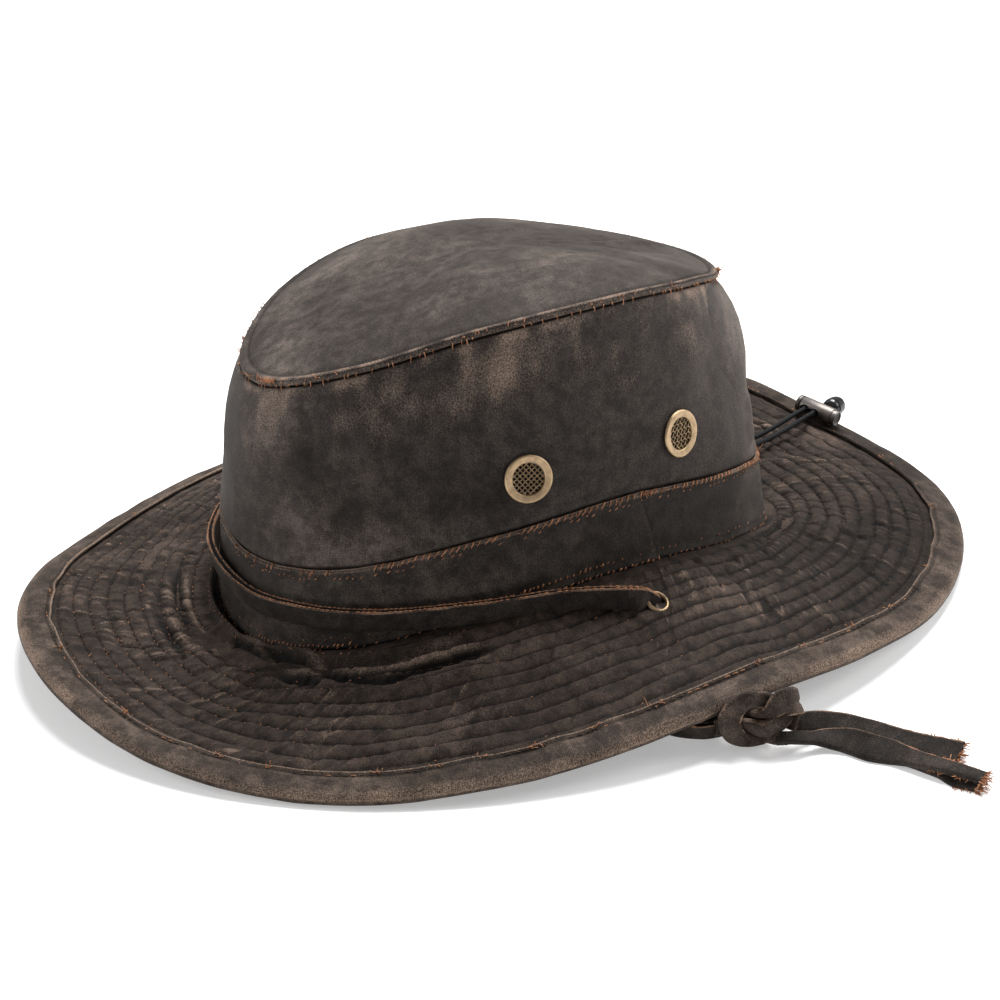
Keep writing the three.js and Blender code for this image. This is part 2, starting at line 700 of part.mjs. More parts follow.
// A point by the knot, in shares of its half width, half depth and half height
function byKnot(right, front, up) {
  const point = knotCentre.clone().addScaledVector(knotRight, right * KNOT_WIDTH / 2);
  return point.addScaledVector(knotFront, front * KNOT_DEPTH / 2).addScaledVector(flat, up * KNOT_HEIGHT / 2);
}

// Overhand knot of the strap's two sides, drawn as one round strand
function strapKnot() {
  const loops = [];
  const count = 40;
  const start = 0.36;
  const reach = (KNOT_WIDTH - KNOT_STRAND) / 5.4;
  const rise = (KNOT_HEIGHT - KNOT_STRAND) / 5.1;
  const depth = (KNOT_DEPTH - KNOT_STRAND) / 2;
  for (let i = 0; i <= count; i += 1) {
    const turn = start + (2 * Math.PI - 0.72) * i / count;
    const right = reach * (Math.sin(turn) + 2 * Math.sin(2 * turn));
    const up = -rise * (Math.cos(turn) - 2 * Math.cos(2 * turn)) - rise * 0.45;
    const front = depth * Math.sin(3 * turn);
    loops.push(knotCentre.clone().addScaledVector(knotRight, right).addScaledVector(flat, up)
      .addScaledVector(knotFront, front));
  }
  return roundCord(loops, KNOT_STRAND / 2, 36, 8);
}

function strapFarRun() {
  const way = nearPoint.clone().sub(farPoint).setZ(0);
  const across = new THREE.Vector3(-way.y, way.x, 0).normalize();
  const side = new THREE.Vector3(0, 1, 0);
  const start = boreStations(farGrommet, [-BORE_MOUTH, -BORE_FOOT], side);
  const bend = farPoint.clone().setZ(farPoint.z * 0.45);
  const middle = FAR_RUN_ROWS.map((row) => {
    const at = farPoint.clone().addScaledVector(way, row.along).addScaledVector(across, row.side * HEAD_LENGTH);
    return station(at.setZ(STRAP_THICK / 2 + FLOOR_CLEAR + row.up * HEAD_LENGTH), across);
  });
  const entering = across.clone().multiplyScalar(0.95).addScaledVector(flat, -0.15);
  const end = station(byKnot(-1.17, 0.15, -0.58), entering, STRAP_WIDTH * 0.6, STRAP_THICK * 1.2);
  return tape([...start, station(bend, side, STRAP_WIDTH * 0.7), ...middle, end], 22);
}

function strapNearRun() {
  const side = new THREE.Vector3(0, 1, 0);
  const start = boreStations(nearGrommet, [-BORE_MOUTH, -BORE_FOOT], side);
  const low = nearPoint.clone().add(new THREE.Vector3(4, -1, 0)).setZ(nearPoint.z * 0.45);
  const touch = nearPoint.clone().lerp(knotCentre, 0.26).setZ(STRAP_THICK / 2 + 1.2);
  const glide = nearPoint.clone().lerp(knotCentre, 0.5).setZ(STRAP_THICK / 2 + FLOOR_CLEAR);
  const entering = side.clone().multiplyScalar(0.95).addScaledVector(flat, 0.3);
  const end = station(byKnot(-0.6, -0.92, -0.55), entering, STRAP_WIDTH * 0.7);
  return tape([...start, station(low, side, STRAP_WIDTH * 0.7), station(touch, side), station(glide, side), end], 14);
}

const tailWay = new THREE.Vector3(Math.cos(radians(28.7)), Math.sin(radians(28.7)), 0);
const tailAcross = new THREE.Vector3(-tailWay.y, tailWay.x, 0);

function strapTail(rows) {
  const stations = rows.map((row) => {
    const at = knotCentre.clone().setZ(0).addScaledVector(tailWay, row.along * TAIL_LENGTH);
    at.addScaledVector(tailAcross, row.across * TAIL_LENGTH);
    const twist = radians(row.twist);
    const reach = STRAP_WIDTH / 2 * Math.sin(twist) + STRAP_THICK / 2 * Math.cos(twist);
    at.z = Math.max(reach + 0.1, row.up * TAIL_LENGTH);
    return station(at, tailAcross.clone().multiplyScalar(Math.cos(twist)).addScaledVector(flat, Math.sin(twist)));
  });
  return tape(stations, 10);
}

// Sizing cord: lock on the back of the brim, both strands through it into the bead
const cordStart = bandPoint(180, CORD_HOLE_RISE / BAND_HEIGHT).add(raise);
const lockCentre = new THREE.Vector3(-CORD_DRIFT, cordStart.y + CORD_REACH, LOCK_RISE);
const cordWay = lockCentre.clone().sub(cordStart).normalize();
const lockAxis = new THREE.Vector3(Math.cos(radians(LOCK_ACROSS)), Math.sin(radians(LOCK_ACROSS)), 0);
lockAxis.multiplyScalar(Math.cos(radians(LOCK_TILT))).addScaledVector(flat, -Math.sin(radians(LOCK_TILT)));
lockAxis.negate();
const throughWay = cordWay.clone().addScaledVector(lockAxis, -cordWay.dot(lockAxis)).normalize();
const holeMiddle = LOCK_FIRST_HOLE + CORD_SPACING / 2;
const lockStart = lockCentre.clone().addScaledVector(lockAxis, -holeMiddle);
const lockPlace = placeAt(lockStart, lockAxis, throughWay);
const beadCentre = lockCentre.clone().addScaledVector(throughWay, LOCK_RADIUS + GAP + BEAD_LENGTH / 2 + 1.2);
const beadPlace = placeAt(beadCentre, throughWay, lockAxis);

function strandPoints(side) {
  const inBand = cordStart.clone().add(new THREE.Vector3(-side * 2.6, -4, 1.2));
  const leave = cordStart.clone().add(new THREE.Vector3(-side * 2.6, 2, -0.4));
  const offset = lockAxis.clone().multiplyScalar(side * CORD_SPACING / 2);
  const way = lockCentre.clone().add(offset).sub(leave);
  const middle = leave.clone().addScaledVector(way, 0.45);
  middle.z -= 2.2;
  const before = lockCentre.clone().add(offset).addScaledVector(throughWay, -LOCK_RADIUS - 3);
  const after = lockCentre.clone().add(offset).addScaledVector(throughWay, LOCK_RADIUS + 0.6);
  const beadMouth = beadCentre.clone().addScaledVector(throughWay, -BEAD_LENGTH / 2 + BEAD_BORE_DEPTH - 0.6);
  beadMouth.addScaledVector(lockAxis, side * 1.35);
  const beforeBead = beadCentre.clone().addScaledVector(throughWay, -BEAD_LENGTH / 2 + 0.4);
  beforeBead.addScaledVector(lockAxis, side * 1.35);
  return [inBand, leave, middle, before, after, beforeBead, beadMouth];
}

function lockBarrel() {
  const body = turned([
    [0, 0], [LOCK_RADIUS * 0.9, 0], [LOCK_RADIUS, 0.5], [LOCK_RADIUS, LOCK_LENGTH - 0.5],
    [LOCK_RADIUS * 0.9, LOCK_LENGTH], [0, LOCK_LENGTH],
  ], lockPlace, 16);
  const bore = rod(LOCK_BORE, -1, LOCK_LENGTH - LOCK_END_WALL, lockPlace, 12);
  const holes = [0, 1].map((i) => {
    const at = lockStart.clone().addScaledVector(lockAxis, LOCK_FIRST_HOLE + i * CORD_SPACING);
    return rod(CORD_RADIUS + CORD_CLEAR, -2 * LOCK_RADIUS, 2 * LOCK_RADIUS, placeAt(at, throughWay, lockAxis), 8);
  });
  return cutAway(body, [bore, ...holes]);
}

function lockPlunger() {
  const room = PLUNGER_TRAVEL + GAP;
  const deepEnd = LOCK_FIRST_HOLE + CORD_SPACING + CORD_RADIUS + CORD_CLEAR;
  const nearEnd = LOCK_FIRST_HOLE - CORD_RADIUS - CORD_CLEAR - PLUNGER_TRAVEL;
  const stemEnd = LOCK_LENGTH - LOCK_END_WALL - room;
  const stem = turned([
    [0, -room - PLUNGER_HEAD_LENGTH], [PLUNGER_HEAD_RADIUS * 0.85, -room - PLUNGER_HEAD_LENGTH],
    [PLUNGER_HEAD_RADIUS, -room - PLUNGER_HEAD_LENGTH * 0.7], [PLUNGER_HEAD_RADIUS, -room],
    [LOCK_BORE - GAP, -room], [LOCK_BORE - GAP, stemEnd], [0, stemEnd],
  ], lockPlace, 12);
  const slotSize = new THREE.BoxGeometry(4 * LOCK_RADIUS, 2 * (CORD_RADIUS + CORD_CLEAR), deepEnd - nearEnd);
  slotSize.translate(0, 0, (deepEnd + nearEnd) / 2);
  slotSize.applyMatrix4(lockPlace);
  return cutAway(stem, [merged(slotSize)]);
}

function endBead() {
  const half = BEAD_LENGTH / 2;
  const body = turned([
    [0, -half], [BEAD_RADIUS * 0.8, -half], [BEAD_RADIUS, -half * 0.55], [BEAD_RADIUS, half * 0.4],
    [BEAD_RADIUS * 0.7, half * 0.88], [0, half],
  ], beadPlace, 14);
  const bores = [-1, 1].map((side) => {
    const at = beadCentre.clone().addScaledVector(lockAxis, side * 1.35);
    return rod(CORD_RADIUS + CORD_CLEAR, -half - 1, -half + BEAD_BORE_DEPTH, placeAt(at, throughWay, lockAxis), 10);
  });
  return cutAway(body, bores);
}

// Hollows cut in the cloth for the trim and the cord
function ventCutters() {
  return VENTS.map((vent) => rod(VENT_BARREL + GAP, -VENT_CUT_IN, VENT_CUT_OUT, ventPlace(vent), 14));
}

function grommetCutters() {
  return [nearGrommet, farGrommet].map((place) => rod(GROMMET_BARREL + GAP, -GROMMET_CUT, GROMMET_CUT, place, 14));
}

function cordCutters() {
  return [-1, 1].map((side) => {
    const [inBand, leave] = strandPoints(side);
    const way = leave.clone().sub(inBand);
    return rod(CORD_RADIUS + CORD_CLEAR, -3, way.length() + 3, placeAt(inBand, way, flat), 12);
  });
}

const hat = new THREE.Group();
hat.name = 'bush_hat';

function add(name, geometry, colour, metalness = 0, roughness = 0.85) {
  geometry.computeVertexNormals();
  const material = new THREE.MeshStandardMaterial({ color: colours[colour], metalness, roughness });
  material.name = colour;
  const mesh = new THREE.Mesh(geometry, material);
  mesh.name = name;
  hat.add(mesh);
}

add('crown_top', crownTop(), 'cloth');
add('crown_wall', cutAway(crownWall(), ventCutters()), 'cloth');
add('hat_band', cutAway(hatBand(), cordCutters()), 'cloth');
add('brim', cutAway(brimBody(), grommetCutters()), 'cloth');
add('brim_binding', ringOf((angle) => bindingSection(angle).map((point) => point.add(raise))), 'binding');
add('strap_front', strapFront(nearGrommet, farGrommet), 'cloth');
add('strap_far_run', strapFarRun(), 'cloth');
add('strap_near_run', strapNearRun(), 'cloth');
add('strap_knot', strapKnot(), 'cloth');
add('strap_tail_upper', strapTail(UPPER_TAIL_ROWS), 'cloth');
add('strap_tail_lower', strapTail(LOWER_TAIL_ROWS), 'cloth');
add('grommet_near', grommetRing(nearGrommet), 'brass', 1, 0.45);
add('grommet_far', grommetRing(farGrommet), 'brass', 1, 0.45);
for (const vent of VENTS) {
  add(`vent_ring_${vent.name}`, ventRing(ventPlace(vent)), 'brass', 1, 0.45);
  add(`vent_screen_${vent.name}`, ventScreen(ventPlace(vent)), 'brass', 1, 0.5);
}
add('cord_strand_near', roundCord(strandPoints(-1), CORD_RADIUS, 18), 'black', 0, 0.5);
add('cord_strand_far', roundCord(strandPoints(1), CORD_RADIUS, 18), 'black', 0, 0.5);
add('cord_lock_barrel', lockBarrel(), 'gunmetal', 1, 0.35);
add('cord_lock_plunger', lockPlunger(), 'gunmetal', 1, 0.45);
add('cord_end_bead', endBead(), 'black', 0, 0.35);

// The middle of the hat's own footprint, without its strap and cord, goes to the origin
const bounds = new THREE.Box3();
for (const mesh of hat.children) {
  if (!/^(strap|cord)_/.test(mesh.name)) bounds.expandByObject(mesh);
}
const centre = bounds.getCenter(new THREE.Vector3());
for (const mesh of hat.children) mesh.geometry.translate(-centre.x, -centre.y, -bounds.min.z);

export default hat;
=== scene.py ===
"""A soft waxed-cloth bush hat on a pale floor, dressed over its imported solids."""

import logging
import math
from dataclasses import dataclass, field
from enum import Enum

import bpy
import numpy as np
from mathutils import Matrix, Vector


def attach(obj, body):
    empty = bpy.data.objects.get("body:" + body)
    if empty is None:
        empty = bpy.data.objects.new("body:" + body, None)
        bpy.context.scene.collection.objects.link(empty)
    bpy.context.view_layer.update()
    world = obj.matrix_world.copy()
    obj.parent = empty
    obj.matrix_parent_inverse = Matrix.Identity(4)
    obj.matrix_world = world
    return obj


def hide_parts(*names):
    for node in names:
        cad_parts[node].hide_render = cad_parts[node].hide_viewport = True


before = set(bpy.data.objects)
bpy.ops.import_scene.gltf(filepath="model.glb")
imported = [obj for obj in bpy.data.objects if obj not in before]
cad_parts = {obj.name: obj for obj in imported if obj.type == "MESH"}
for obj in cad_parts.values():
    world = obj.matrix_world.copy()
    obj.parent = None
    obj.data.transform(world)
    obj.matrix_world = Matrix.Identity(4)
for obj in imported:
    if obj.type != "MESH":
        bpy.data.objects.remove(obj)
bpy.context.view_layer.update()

LOG = logging.getLogger("bush_hat")
MM = 0.001
GAP = 0.3
CLOTH = 1.6
OFF_FLOOR = 0.12
DEGREES_A_RADIAN = 57.3
BACKWARD = np.array([0, 1.0, 0])

Array = np.ndarray
Material = bpy.types.Material
Piece = bpy.types.Object
Socket = bpy.types.NodeSocket

# Round the crown: angle, rise of the band's foot and of the seam as shares of the crown's rise,
# band height as a share, shoulder roundness as a share
CROWN_ROWS = (
    (0, 0.09, 1.02, 1.02, 0.7),
    (30, 0.17, 0.96, 1.125, 0.6),
    (60, 0.295, 0.9, 1.25, 0.35),
    (90, 0.34, 0.87, 1.285, 0.25),
    (120, 0.24, 0.88, 1.205, 0.5),
    (150, 0.11, 0.91, 1.085, 0.9),
    (180, 0.075, 0.98, 1.03, 1),
    (210, 0.15, 1.05, 1.055, 0.8),
    (240, 0.225, 1.1, 1.1, 0.6),
    (270, 0.235, 1.13, 1.105, 0.4),
    (300, 0.18, 1.13, 1.06, 0.5),
    (330, 0.11, 1.09, 1.005, 0.7),
)
FOOT, BAND, SEAM, SHOULDER = 1, 2, 3, 4

# Dents (in) and folds (out) of the crown wall: angle, share, half spreads and depth
WALL_DENTS = (
    (100, 0.76, 15, 0.2, 1.8),
    (122, 0.5, 12, 0.2, 2.4),
    (20, 0.45, 22, 0.3, 1.4),
    (60, 0.6, 20, 0.25, 1.2),
    (172, 0.5, 14, 0.3, 2.2),
    (230, 0.55, 24, 0.3, 1.8),
    (300, 0.5, 20, 0.3, 1.5),
    (152, 0.85, 9, 0.16, -1.8),
    (148, 0.6, 8, 0.16, -2.2),
    (137, 0.38, 8, 0.14, -1.8),
)

# Sharp folds of the wall: trail of (angle, share), height, half width in degrees
WALL_FOLDS = (
    (((137, 0.12), (140, 0.35), (146, 0.6), (152, 0.86)), 1.7, 3.4),
    (((119, 0.08), (121, 0.3), (126, 0.5)), 0.7, 4.0),
    (((92, 0.55), (97, 0.75), (99, 0.92)), 0.7, 4.5),
    (((12, 0.72), (14, 0.82), (15, 0.93)), 0.8, 3.0),
    (((28, 0.08), (24, 0.25), (21, 0.4)), 0.6, 4.5),
)

# Painted shade of the wall: angle, share, half spreads, shade; a negative one is painted light, paler than the rest
WALL_PAINTED_SHADE = (
    (32, 0.42, 18, 0.28, 0.95),
    (15, 0.66, 9, 0.17, 0.8),
    (58, 0.76, 13, 0.15, -0.5),
    (62, 0.2, 16, 0.15, 0.75),
    (84, 0.34, 10, 0.16, 0.4),
    (104, 0.25, 10, 0.2, 0.3),
    (8, 0.25, 12, 0.2, 0.35),
)

# Creases of the top panel: start of the line, its slope, first and last place along it, depth
DOME_CREASES = (
    (18, -0.18, 8, 84, 0.75),
    (26, -0.3, 24, 86, 0.7),
    (6, -0.1, 34, 90, 0.6),
    (-16, 0.05, -50, 40, 0.45),
    (34, -0.45, 40, 84, 0.6),
    (44, -0.35, -30, 60, 0.4),
)

# Round the brim's edge: angle, then rise, reach and upward bow as shares of the brim's width
BRIM_ROWS = (
    (0, 0.145, 0.985, -0.03),
    (18, 0.055, 0.985, -0.035),
    (40, 0, 0.98, -0.025),
    (62, 0.06, 0.955, -0.01),
    (88, 0.17, 0.93, 0),
    (106, 0.11, 0.94, 0),
    (124, 0.03, 0.97, 0.01),
    (150, 0.02, 1, 0.045),
    (172, 0.005, 1, 0.045),
    (186, 0.045, 1, 0.035),
    (202, 0.185, 0.995, 0.025),
    (218, 0.26, 0.99, 0.01),
    (236, 0.17, 0.98, -0.02),
    (258, 0.045, 0.96, -0.02),
    (285, 0.01, 0.96, 0.005),
    (305, 0.02, 0.975, 0),
    (322, 0.11, 0.985, 0),
    (342, 0.185, 0.985, -0.01),
)
RISE, REACH, BOW = 1, 2, 3

# Creases (down) and rolls (up) of the brim by the crown: angle, way out, half spreads, depth
BRIM_CREASES = (
    (30, 9.5, 26, 3.6, 4),
    (358, 13, 20, 4, 3),
    (20, 4, 40, 3, -0.9),
    (140, 8, 14, 4, 1.8),
    (20, 20, 34, 6, -1.4),
)

# Sharp folds of the brim: trail of (angle, distance out), depth, half width, height of its sides
BRIM_FOLDS = (
    (((-52, 1.4), (-28, 1.0), (-12, 1.0), (2, 1.2)), 2.2, 1.2, 0.8),
    (((-4, 5.2), (6, 6.4), (12, 8.6), (18, 13.5), (24, 18.5), (34, 20)), 2.6, 1.9, 0.5),
    (((6, 3.4), (16, 5.6), (22, 7.4), (28, 12.5), (34, 17.8), (42, 20), (48, 18.2), (62, 17)), 2.6, 2.0, 0.5),
    (((-34, 3.0), (-22, 2.9), (-4, 3.4), (10, 2.8), (26, 4.4), (35, 5.6), (43, 6.4), (58, 6.8)), -1.7, 1.9, 0.1),
    (((14, 11), (24, 14), (34, 13), (44, 13.5), (58, 12.5)), -1.4, 2.2, 0.1),
    (((-38, 17.5), (-24, 15.5), (-10, 14.5), (4, 17)), 1.5, 1.8, 0.4),
    (((-24, 26), (-10, 24), (4, 27)), 1.0, 2.0, 0.4),
    (((122, 5.0), (136, 6.8), (150, 8.5)), 2.2, 1.9, 0.4),
)

# Upper side of the binding: distance in from the edge, height over the plain tape
BINDING_RIDGE = (
    (12.5, -0.45), (12.45, 0.0), (12.2, 0.42), (11.9, 0.45), (11.5, 0.15), (11.0, -0.12), (10.5, -0.22), (9.6, 0.02),
    (8, 0.16), (6.4, 0.2), (4.8, 0.18), (3.2, 0.08), (2.1, -0.1), (1.2, -0.5), (0.5, -1.1), (0.1, -1.75),
)

# Angles at which loose ends stand out of the binding's stitch line
FRAY_SPOTS = (8, 24, 31, 45, 52, 57, 63, 70, 78, 92, 99, 108, 117, 131, 150, 171, 200, 231, 262, 300, 331, 349)

# Chin strap round the front: angle, height on the band, distance off it, lean of its top edge
STRAP_ROWS = (
    (74, 0.016, 0.085, 6),
    (62, 0.09, 0.024, 8),
    (52, 0.19, 0.008, 8),
    (42, 0.3, 0.004, 8),
    (30, 0.42, 0.004, 8),
    (18, 0.51, 0.004, 8),
    (6, 0.555, 0.004, 8),
    (-6, 0.6, 0.004, 8),
    (-18, 0.59, 0.004, 8),
    (-30, 0.53, 0.006, 8),
    (-45, 0.42, 0.012, 8),
    (-60, 0.28, 0.04, 6),
    (-72, 0.17, 0.1, 0),
    (-81, 0.1, 0.17, -10),
)

# The strap's far side over the floor to the knot: along, sideways and upward
FAR_RUN_ROWS = (
    (0.03, -0.01, 0.006),
    (0.22, -0.04, 0),
    (0.5, -0.075, 0),
    (0.8, -0.085, 0.001),
    (0.95, -0.093, 0.008),
    (1.06, -0.095, 0.009),
)

# Upper half of the folded tape's outline, in half widths and half thicknesses, from its fold to its slit
TAPE_OUTLINE = (
    (-1, 0), (-0.97, 0.55), (-0.88, 0.9), (-0.6, 1), (-0.2, 1), (0.2, 1), (0.55, 0.98), (0.78, 1.0), (0.9, 1.02),
    (0.98, 0.85), (1.0, 0.55), (0.93, 0.22), (0.8, 0.06),
)

# The two tails and the lower one's turned lap: right, up and front of the knot's middle, the direction of the
# width, width, thickness
UPPER_TAIL_ROWS = (
    (10.6, -1.6, -6.0, 0.1, 0.9, -0.4, 5.6, 2.2),
    (14.9, -3.1, -6.5, 0.08, 0.78, -0.62, 6.8, 2.2),
    (23.0, -5.0, -9.2, 0.06, 0.64, -0.76, 7.6, 2.2),
    (30.7, -6.6, -8.6, 0.03, 0.58, -0.81, 8.4, 2.2),
    (41.7, -7.6, -2.2, 0.05, 0.50, -0.87, 8.8, 2.2),
    (49.4, -8.2, 2.3, 0.03, 0.40, -0.93, 8.8, 2.2),
    (57.2, -8.2, 7.3, -0.15, 0.38, -0.92, 8.8, 2.2),
    (64.8, -8.3, 11.8, -0.45, 0.33, -0.84, 9.6, 2.2),
)
LOWER_TAIL_ROWS = (
    (6.5, -4.6, 1.0, 0.1, 0.5, -0.8, 4.4, 2.2),
    (10.9, -3.9, 2.2, 0.11, 0.4, -0.9, 4.4, 2.2),
    (18.5, -5.8, -0.2, 0.12, 0.4, -0.9, 4.8, 2.2),
    (24.2, -7.0, -1.2, 0.20, 0.45, -0.88, 7.6, 2.2),
    (30.1, -7.1, 0.7, 0.25, 0.52, -0.82, 9.4, 2.2),
    (36.6, -7.1, 6.0, 0.24, 0.54, -0.81, 9.8, 2.2),
    (42.8, -7.5, 9.1, 0.16, 0.48, -0.86, 9.0, 2.2),
    (48.2, -7.1, 13.9, 0.39, 0.48, -0.78, 6.4, 2.4),
    (54.1, -6.4, 19.4, 0.46, 0.4, -0.78, 5.2, 2.6),
    (60.0, -6.1, 24.1, 0.43, 0.35, -0.82, 4.8, 2.6),
    (69.0, -6.5, 30.8, 0.46, 0.3, -0.83, 4.6, 2.6),
)
TAIL_LAP_ROWS = (
    (45.6, -9.0, 12.6, 0.1, 0.1, -1.0, 2.4, 1.6),
    (49.5, -9.0, 15.0, 0.15, 0.1, -1.0, 3.6, 1.6),
    (53.5, -9.1, 17.9, 0.25, 0.12, -0.97, 4.6, 1.6),
    (57.9, -9.1, 21.4, 0.28, 0.14, -0.95, 6.0, 1.6),
    (62.0, -9.0, 26.2, 0.28, 0.2, -0.94, 7.6, 1.6),
    (67.6, -8.6, 30.6, 0.1, 0.3, -0.95, 6.6, 1.6),
)

# The knotted strand: right, up and front of the knot's middle, the direction of its width, width, thickness
KNOT_ROWS = (
    (-13.3, -2.6, -5.0, 0, 1, 0.1, 6.0, 2.8),
    (-7.7, -2.8, -6.2, 0, 1, 0.1, 6.0, 2.8),
    (-1.8, -1.8, -3.4, 0, 1, 0.3, 5.8, 3.2),
    (2.8, -1.4, -0.6, 0, 1, 0.35, 6.6, 3.8),
    (6.7, -0.2, -1.0, -0.55, 0.85, 0.2, 6.4, 3.6),
    (9.6, 1.2, -3.6, -0.6, 0.8, 0.1, 6.2, 3.0),
    (11.6, 2.0, -7.0, -0.3, 1, 0, 7.0, 2.8),
    (13.7, 4.8, -5.6, -0.15, 1, 0, 8.4, 2.8),
    (11.6, 7.3, -2.4, -0.2, 1, 0, 9.6, 2.9),
    (8.7, 7.8, -0.9, -0.25, 1, 0.05, 9.8, 3.0),
    (4.7, 4.6, -1.0, -0.35, 1, 0.15, 5.2, 2.8),
    (1.4, 2.9, -2.8, -0.1, 1, 0.5, 3.0, 2.4),
    (-0.5, 1.3, -5.5, 0.3, 0.8, 0.8, 3.0, 2.4),
    (-0.2, -4.0, -7.6, 1, 0.3, 0.1, 5.0, 2.6),
    (3.1, -6.9, -5.6, 0.8, -0.5, 0.2, 4.6, 2.6),
    (0.8, -6.8, -3.2, 0.1, -1, 0.1, 4.0, 2.8),
    (-3.1, -6.0, -2.0, -0.3, -1, 0.2, 4.8, 2.9),
    (-7.1, -3.5, -1.5, -0.75, -0.65, 0.1, 6.9, 3.0),
    (-8.7, 1.2, -1.3, -1, -0.05, 0.05, 7.7, 3.2),
    (-7.1, 5.3, -1.5, -0.85, 0.5, 0.05, 7.4, 3.2),
    (-3.5, 8.4, -2.0, -0.45, 0.9, 0, 6.5, 3.1),
    (1.1, 8.4, -3.0, 0.1, 1, 0, 5.7, 2.9),
    (5.4, 6.2, -5.4, 0.4, 0.9, 0, 5.0, 2.8),
    (8.3, 2.4, -8.2, 0.5, 0.8, 0, 5.0, 2.6),
    (10.6, -0.6, -7.5, 0.3, 0.9, 0, 5.4, 2.6),
    (14.2, -1.6, -3.9, 0.1, 1, 0, 6.0, 2.6),
)
KNOT_TURN_ROWS = (
    (-4.5, 0.5, -7.6, 0, 1, 0, 7.0, 3.4),
    (-1.0, 0.0, -6.6, 0, 1, 0, 8.6, 3.8),
    (2.5, 0.0, -6.0, 0, 1, 0, 8.6, 3.8),
    (6.5, 1.0, -6.6, 0, 1, 0, 7.0, 3.4),
)
KNOT_END_ROWS = (
    (-1.5, -6.2, -6.0, 0, 1, 0.2, 4.4, 2.6),
    (3.0, -5.6, -3.2, 0, 1, 0, 4.6, 2.6),
    (6.5, -4.8, 0.2, 0, 0.9, -0.4, 4.6, 2.6),
    (10.0, -4.2, 2.0, 0.1, 0.6, -0.8, 4.4, 2.4),
)

# Stitch rows of the band: name, height, pitch, length, slant, half thickness, seed, share kept, first and last angle
BAND_STITCHES = (
    ("band_upper_row", 0.905, 1.6, 0.7, 0.9, 0.21, 33, 0.6),
    ("band_lower_row", 0.15, 1.5, 0.6, 0.6, 0.17, 34, 0.4),
    ("band_foot_row", 0.02, 1.5, 0.8, 0.9, 0.2, 35, 0.5),
    ("band_foot_dashes", 0.07, 1.3, 1.2, 0.8, 0.3, 36, 0.95, (4, 32)),
    ("band_foot_tufts", 0.15, 1.25, 1.5, 0.8, 0.36, 37, 0.95, (58, 84)),
    ("band_foot_whips", 0.02, 1.3, 1.1, 0.8, 0.3, 38, 0.9, (58, 96)),
)

# Vents: name, angle, share of the wall's height
VENTS = (
    ("left_front", 68.5, 0.25),
    ("left_back", 104.6, 0.27),
    ("right_front", -68.5, 0.25),
    ("right_back", -104.6, 0.27),
)


def bell(distance: Array, spread: float) -> Array:
    """Smooth bump of height one."""
    return np.exp(-((distance / spread) ** 2))


def ramp(value: Array, low: float, high: float) -> Array:
    """Smooth step from 0 at low to 1 at high."""
    t = np.clip((value - low) / (high - low), 0, 1)
    return t * t * (3 - 2 * t)


def turn_between(a: Array, b: float) -> Array:
    """Signed angle from b to a in degrees."""
    return (a - b + 540) % 360 - 180


def unit(vectors: Array) -> Array:
    """Vectors along the last axis, made one long."""
    return vectors / np.maximum(np.linalg.norm(vectors, axis=-1, keepdims=True), 1e-12)


def outward(angle: Array) -> Array:
    """Direction away from the crown at an angle from the front towards the wearer's left."""
    turn = np.radians(np.asarray(angle, float))
    return np.stack([np.sin(turn), -np.cos(turn), np.zeros_like(turn)], -1)


def around(rows: tuple, column: int, angle: Array) -> Array:
    """Smooth closed curve through the rows of a table.

    Args:
        rows: table whose first column is the angle.
        column: which column is read.
        angle: angles in degrees.

    Returns:
        The curve's values at the angles.
    """
    table = np.array([[row[0], row[column]] for row in rows], float)
    turn = np.mod(np.asarray(angle, float), 360)
    ring = np.vstack([table[-1] - [360, 0], table, table[0] + [360, 0], table[1] + [360, 0]])
    at = np.searchsorted(ring[:, 0], turn, side="right") - 1
    slope = np.zeros(len(ring))
    slope[1:-1] = (ring[2:, 1] - ring[:-2, 1]) / (ring[2:, 0] - ring[:-2, 0])
    slope[0] = slope[len(table)]
    span = ring[at + 1, 0] - ring[at, 0]
    t = (turn - ring[at, 0]) / span
    value = (1 + 2 * t) * (1 - t) ** 2 * ring[at, 1] + t * (1 - t) ** 2 * span * slope[at]
    return value + t**2 * (3 - 2 * t) * ring[at + 1, 1] + t**2 * (t - 1) * span * slope[at + 1]


class Ripple:
    """Smooth chance waves over a sheet whose first direction closes on itself."""

    def __init__(self, seed: int, cells: int, rows: int = 64) -> None:
        """Draws the heights of the waves.

        Args:
            seed: number that fixes the heights.
            cells: how many cells there are the closed way round.
            rows: how many cells there are the other way.
        """
        self.cells = cells
        self.rows = rows
        self.heights = np.random.default_rng(seed).uniform(-1, 1, (cells, rows))

    def at(self, round_share: Array, row: Array) -> Array:
        """Wave height, about -1 to 1, at shares of the way round and rows across."""
        u = np.mod(round_share, 1) * self.cells
        v = np.mod(row, self.rows)
        i = np.floor(u).astype(int)
        j = np.floor(v).astype(int)
        s = u - i
        t = v - j
        s = s * s * (3 - 2 * s)
        t = t * t * (3 - 2 * t)
        i, k = i % self.cells, (i + 1) % self.cells
        j, m = j % self.rows, (j + 1) % self.rows
        grid = self.heights
        low = grid[i, j] * (1 - s) + grid[k, j] * s
        high = grid[i, m] * (1 - s) + grid[k, m] * s
        return low * (1 - t) + high * t


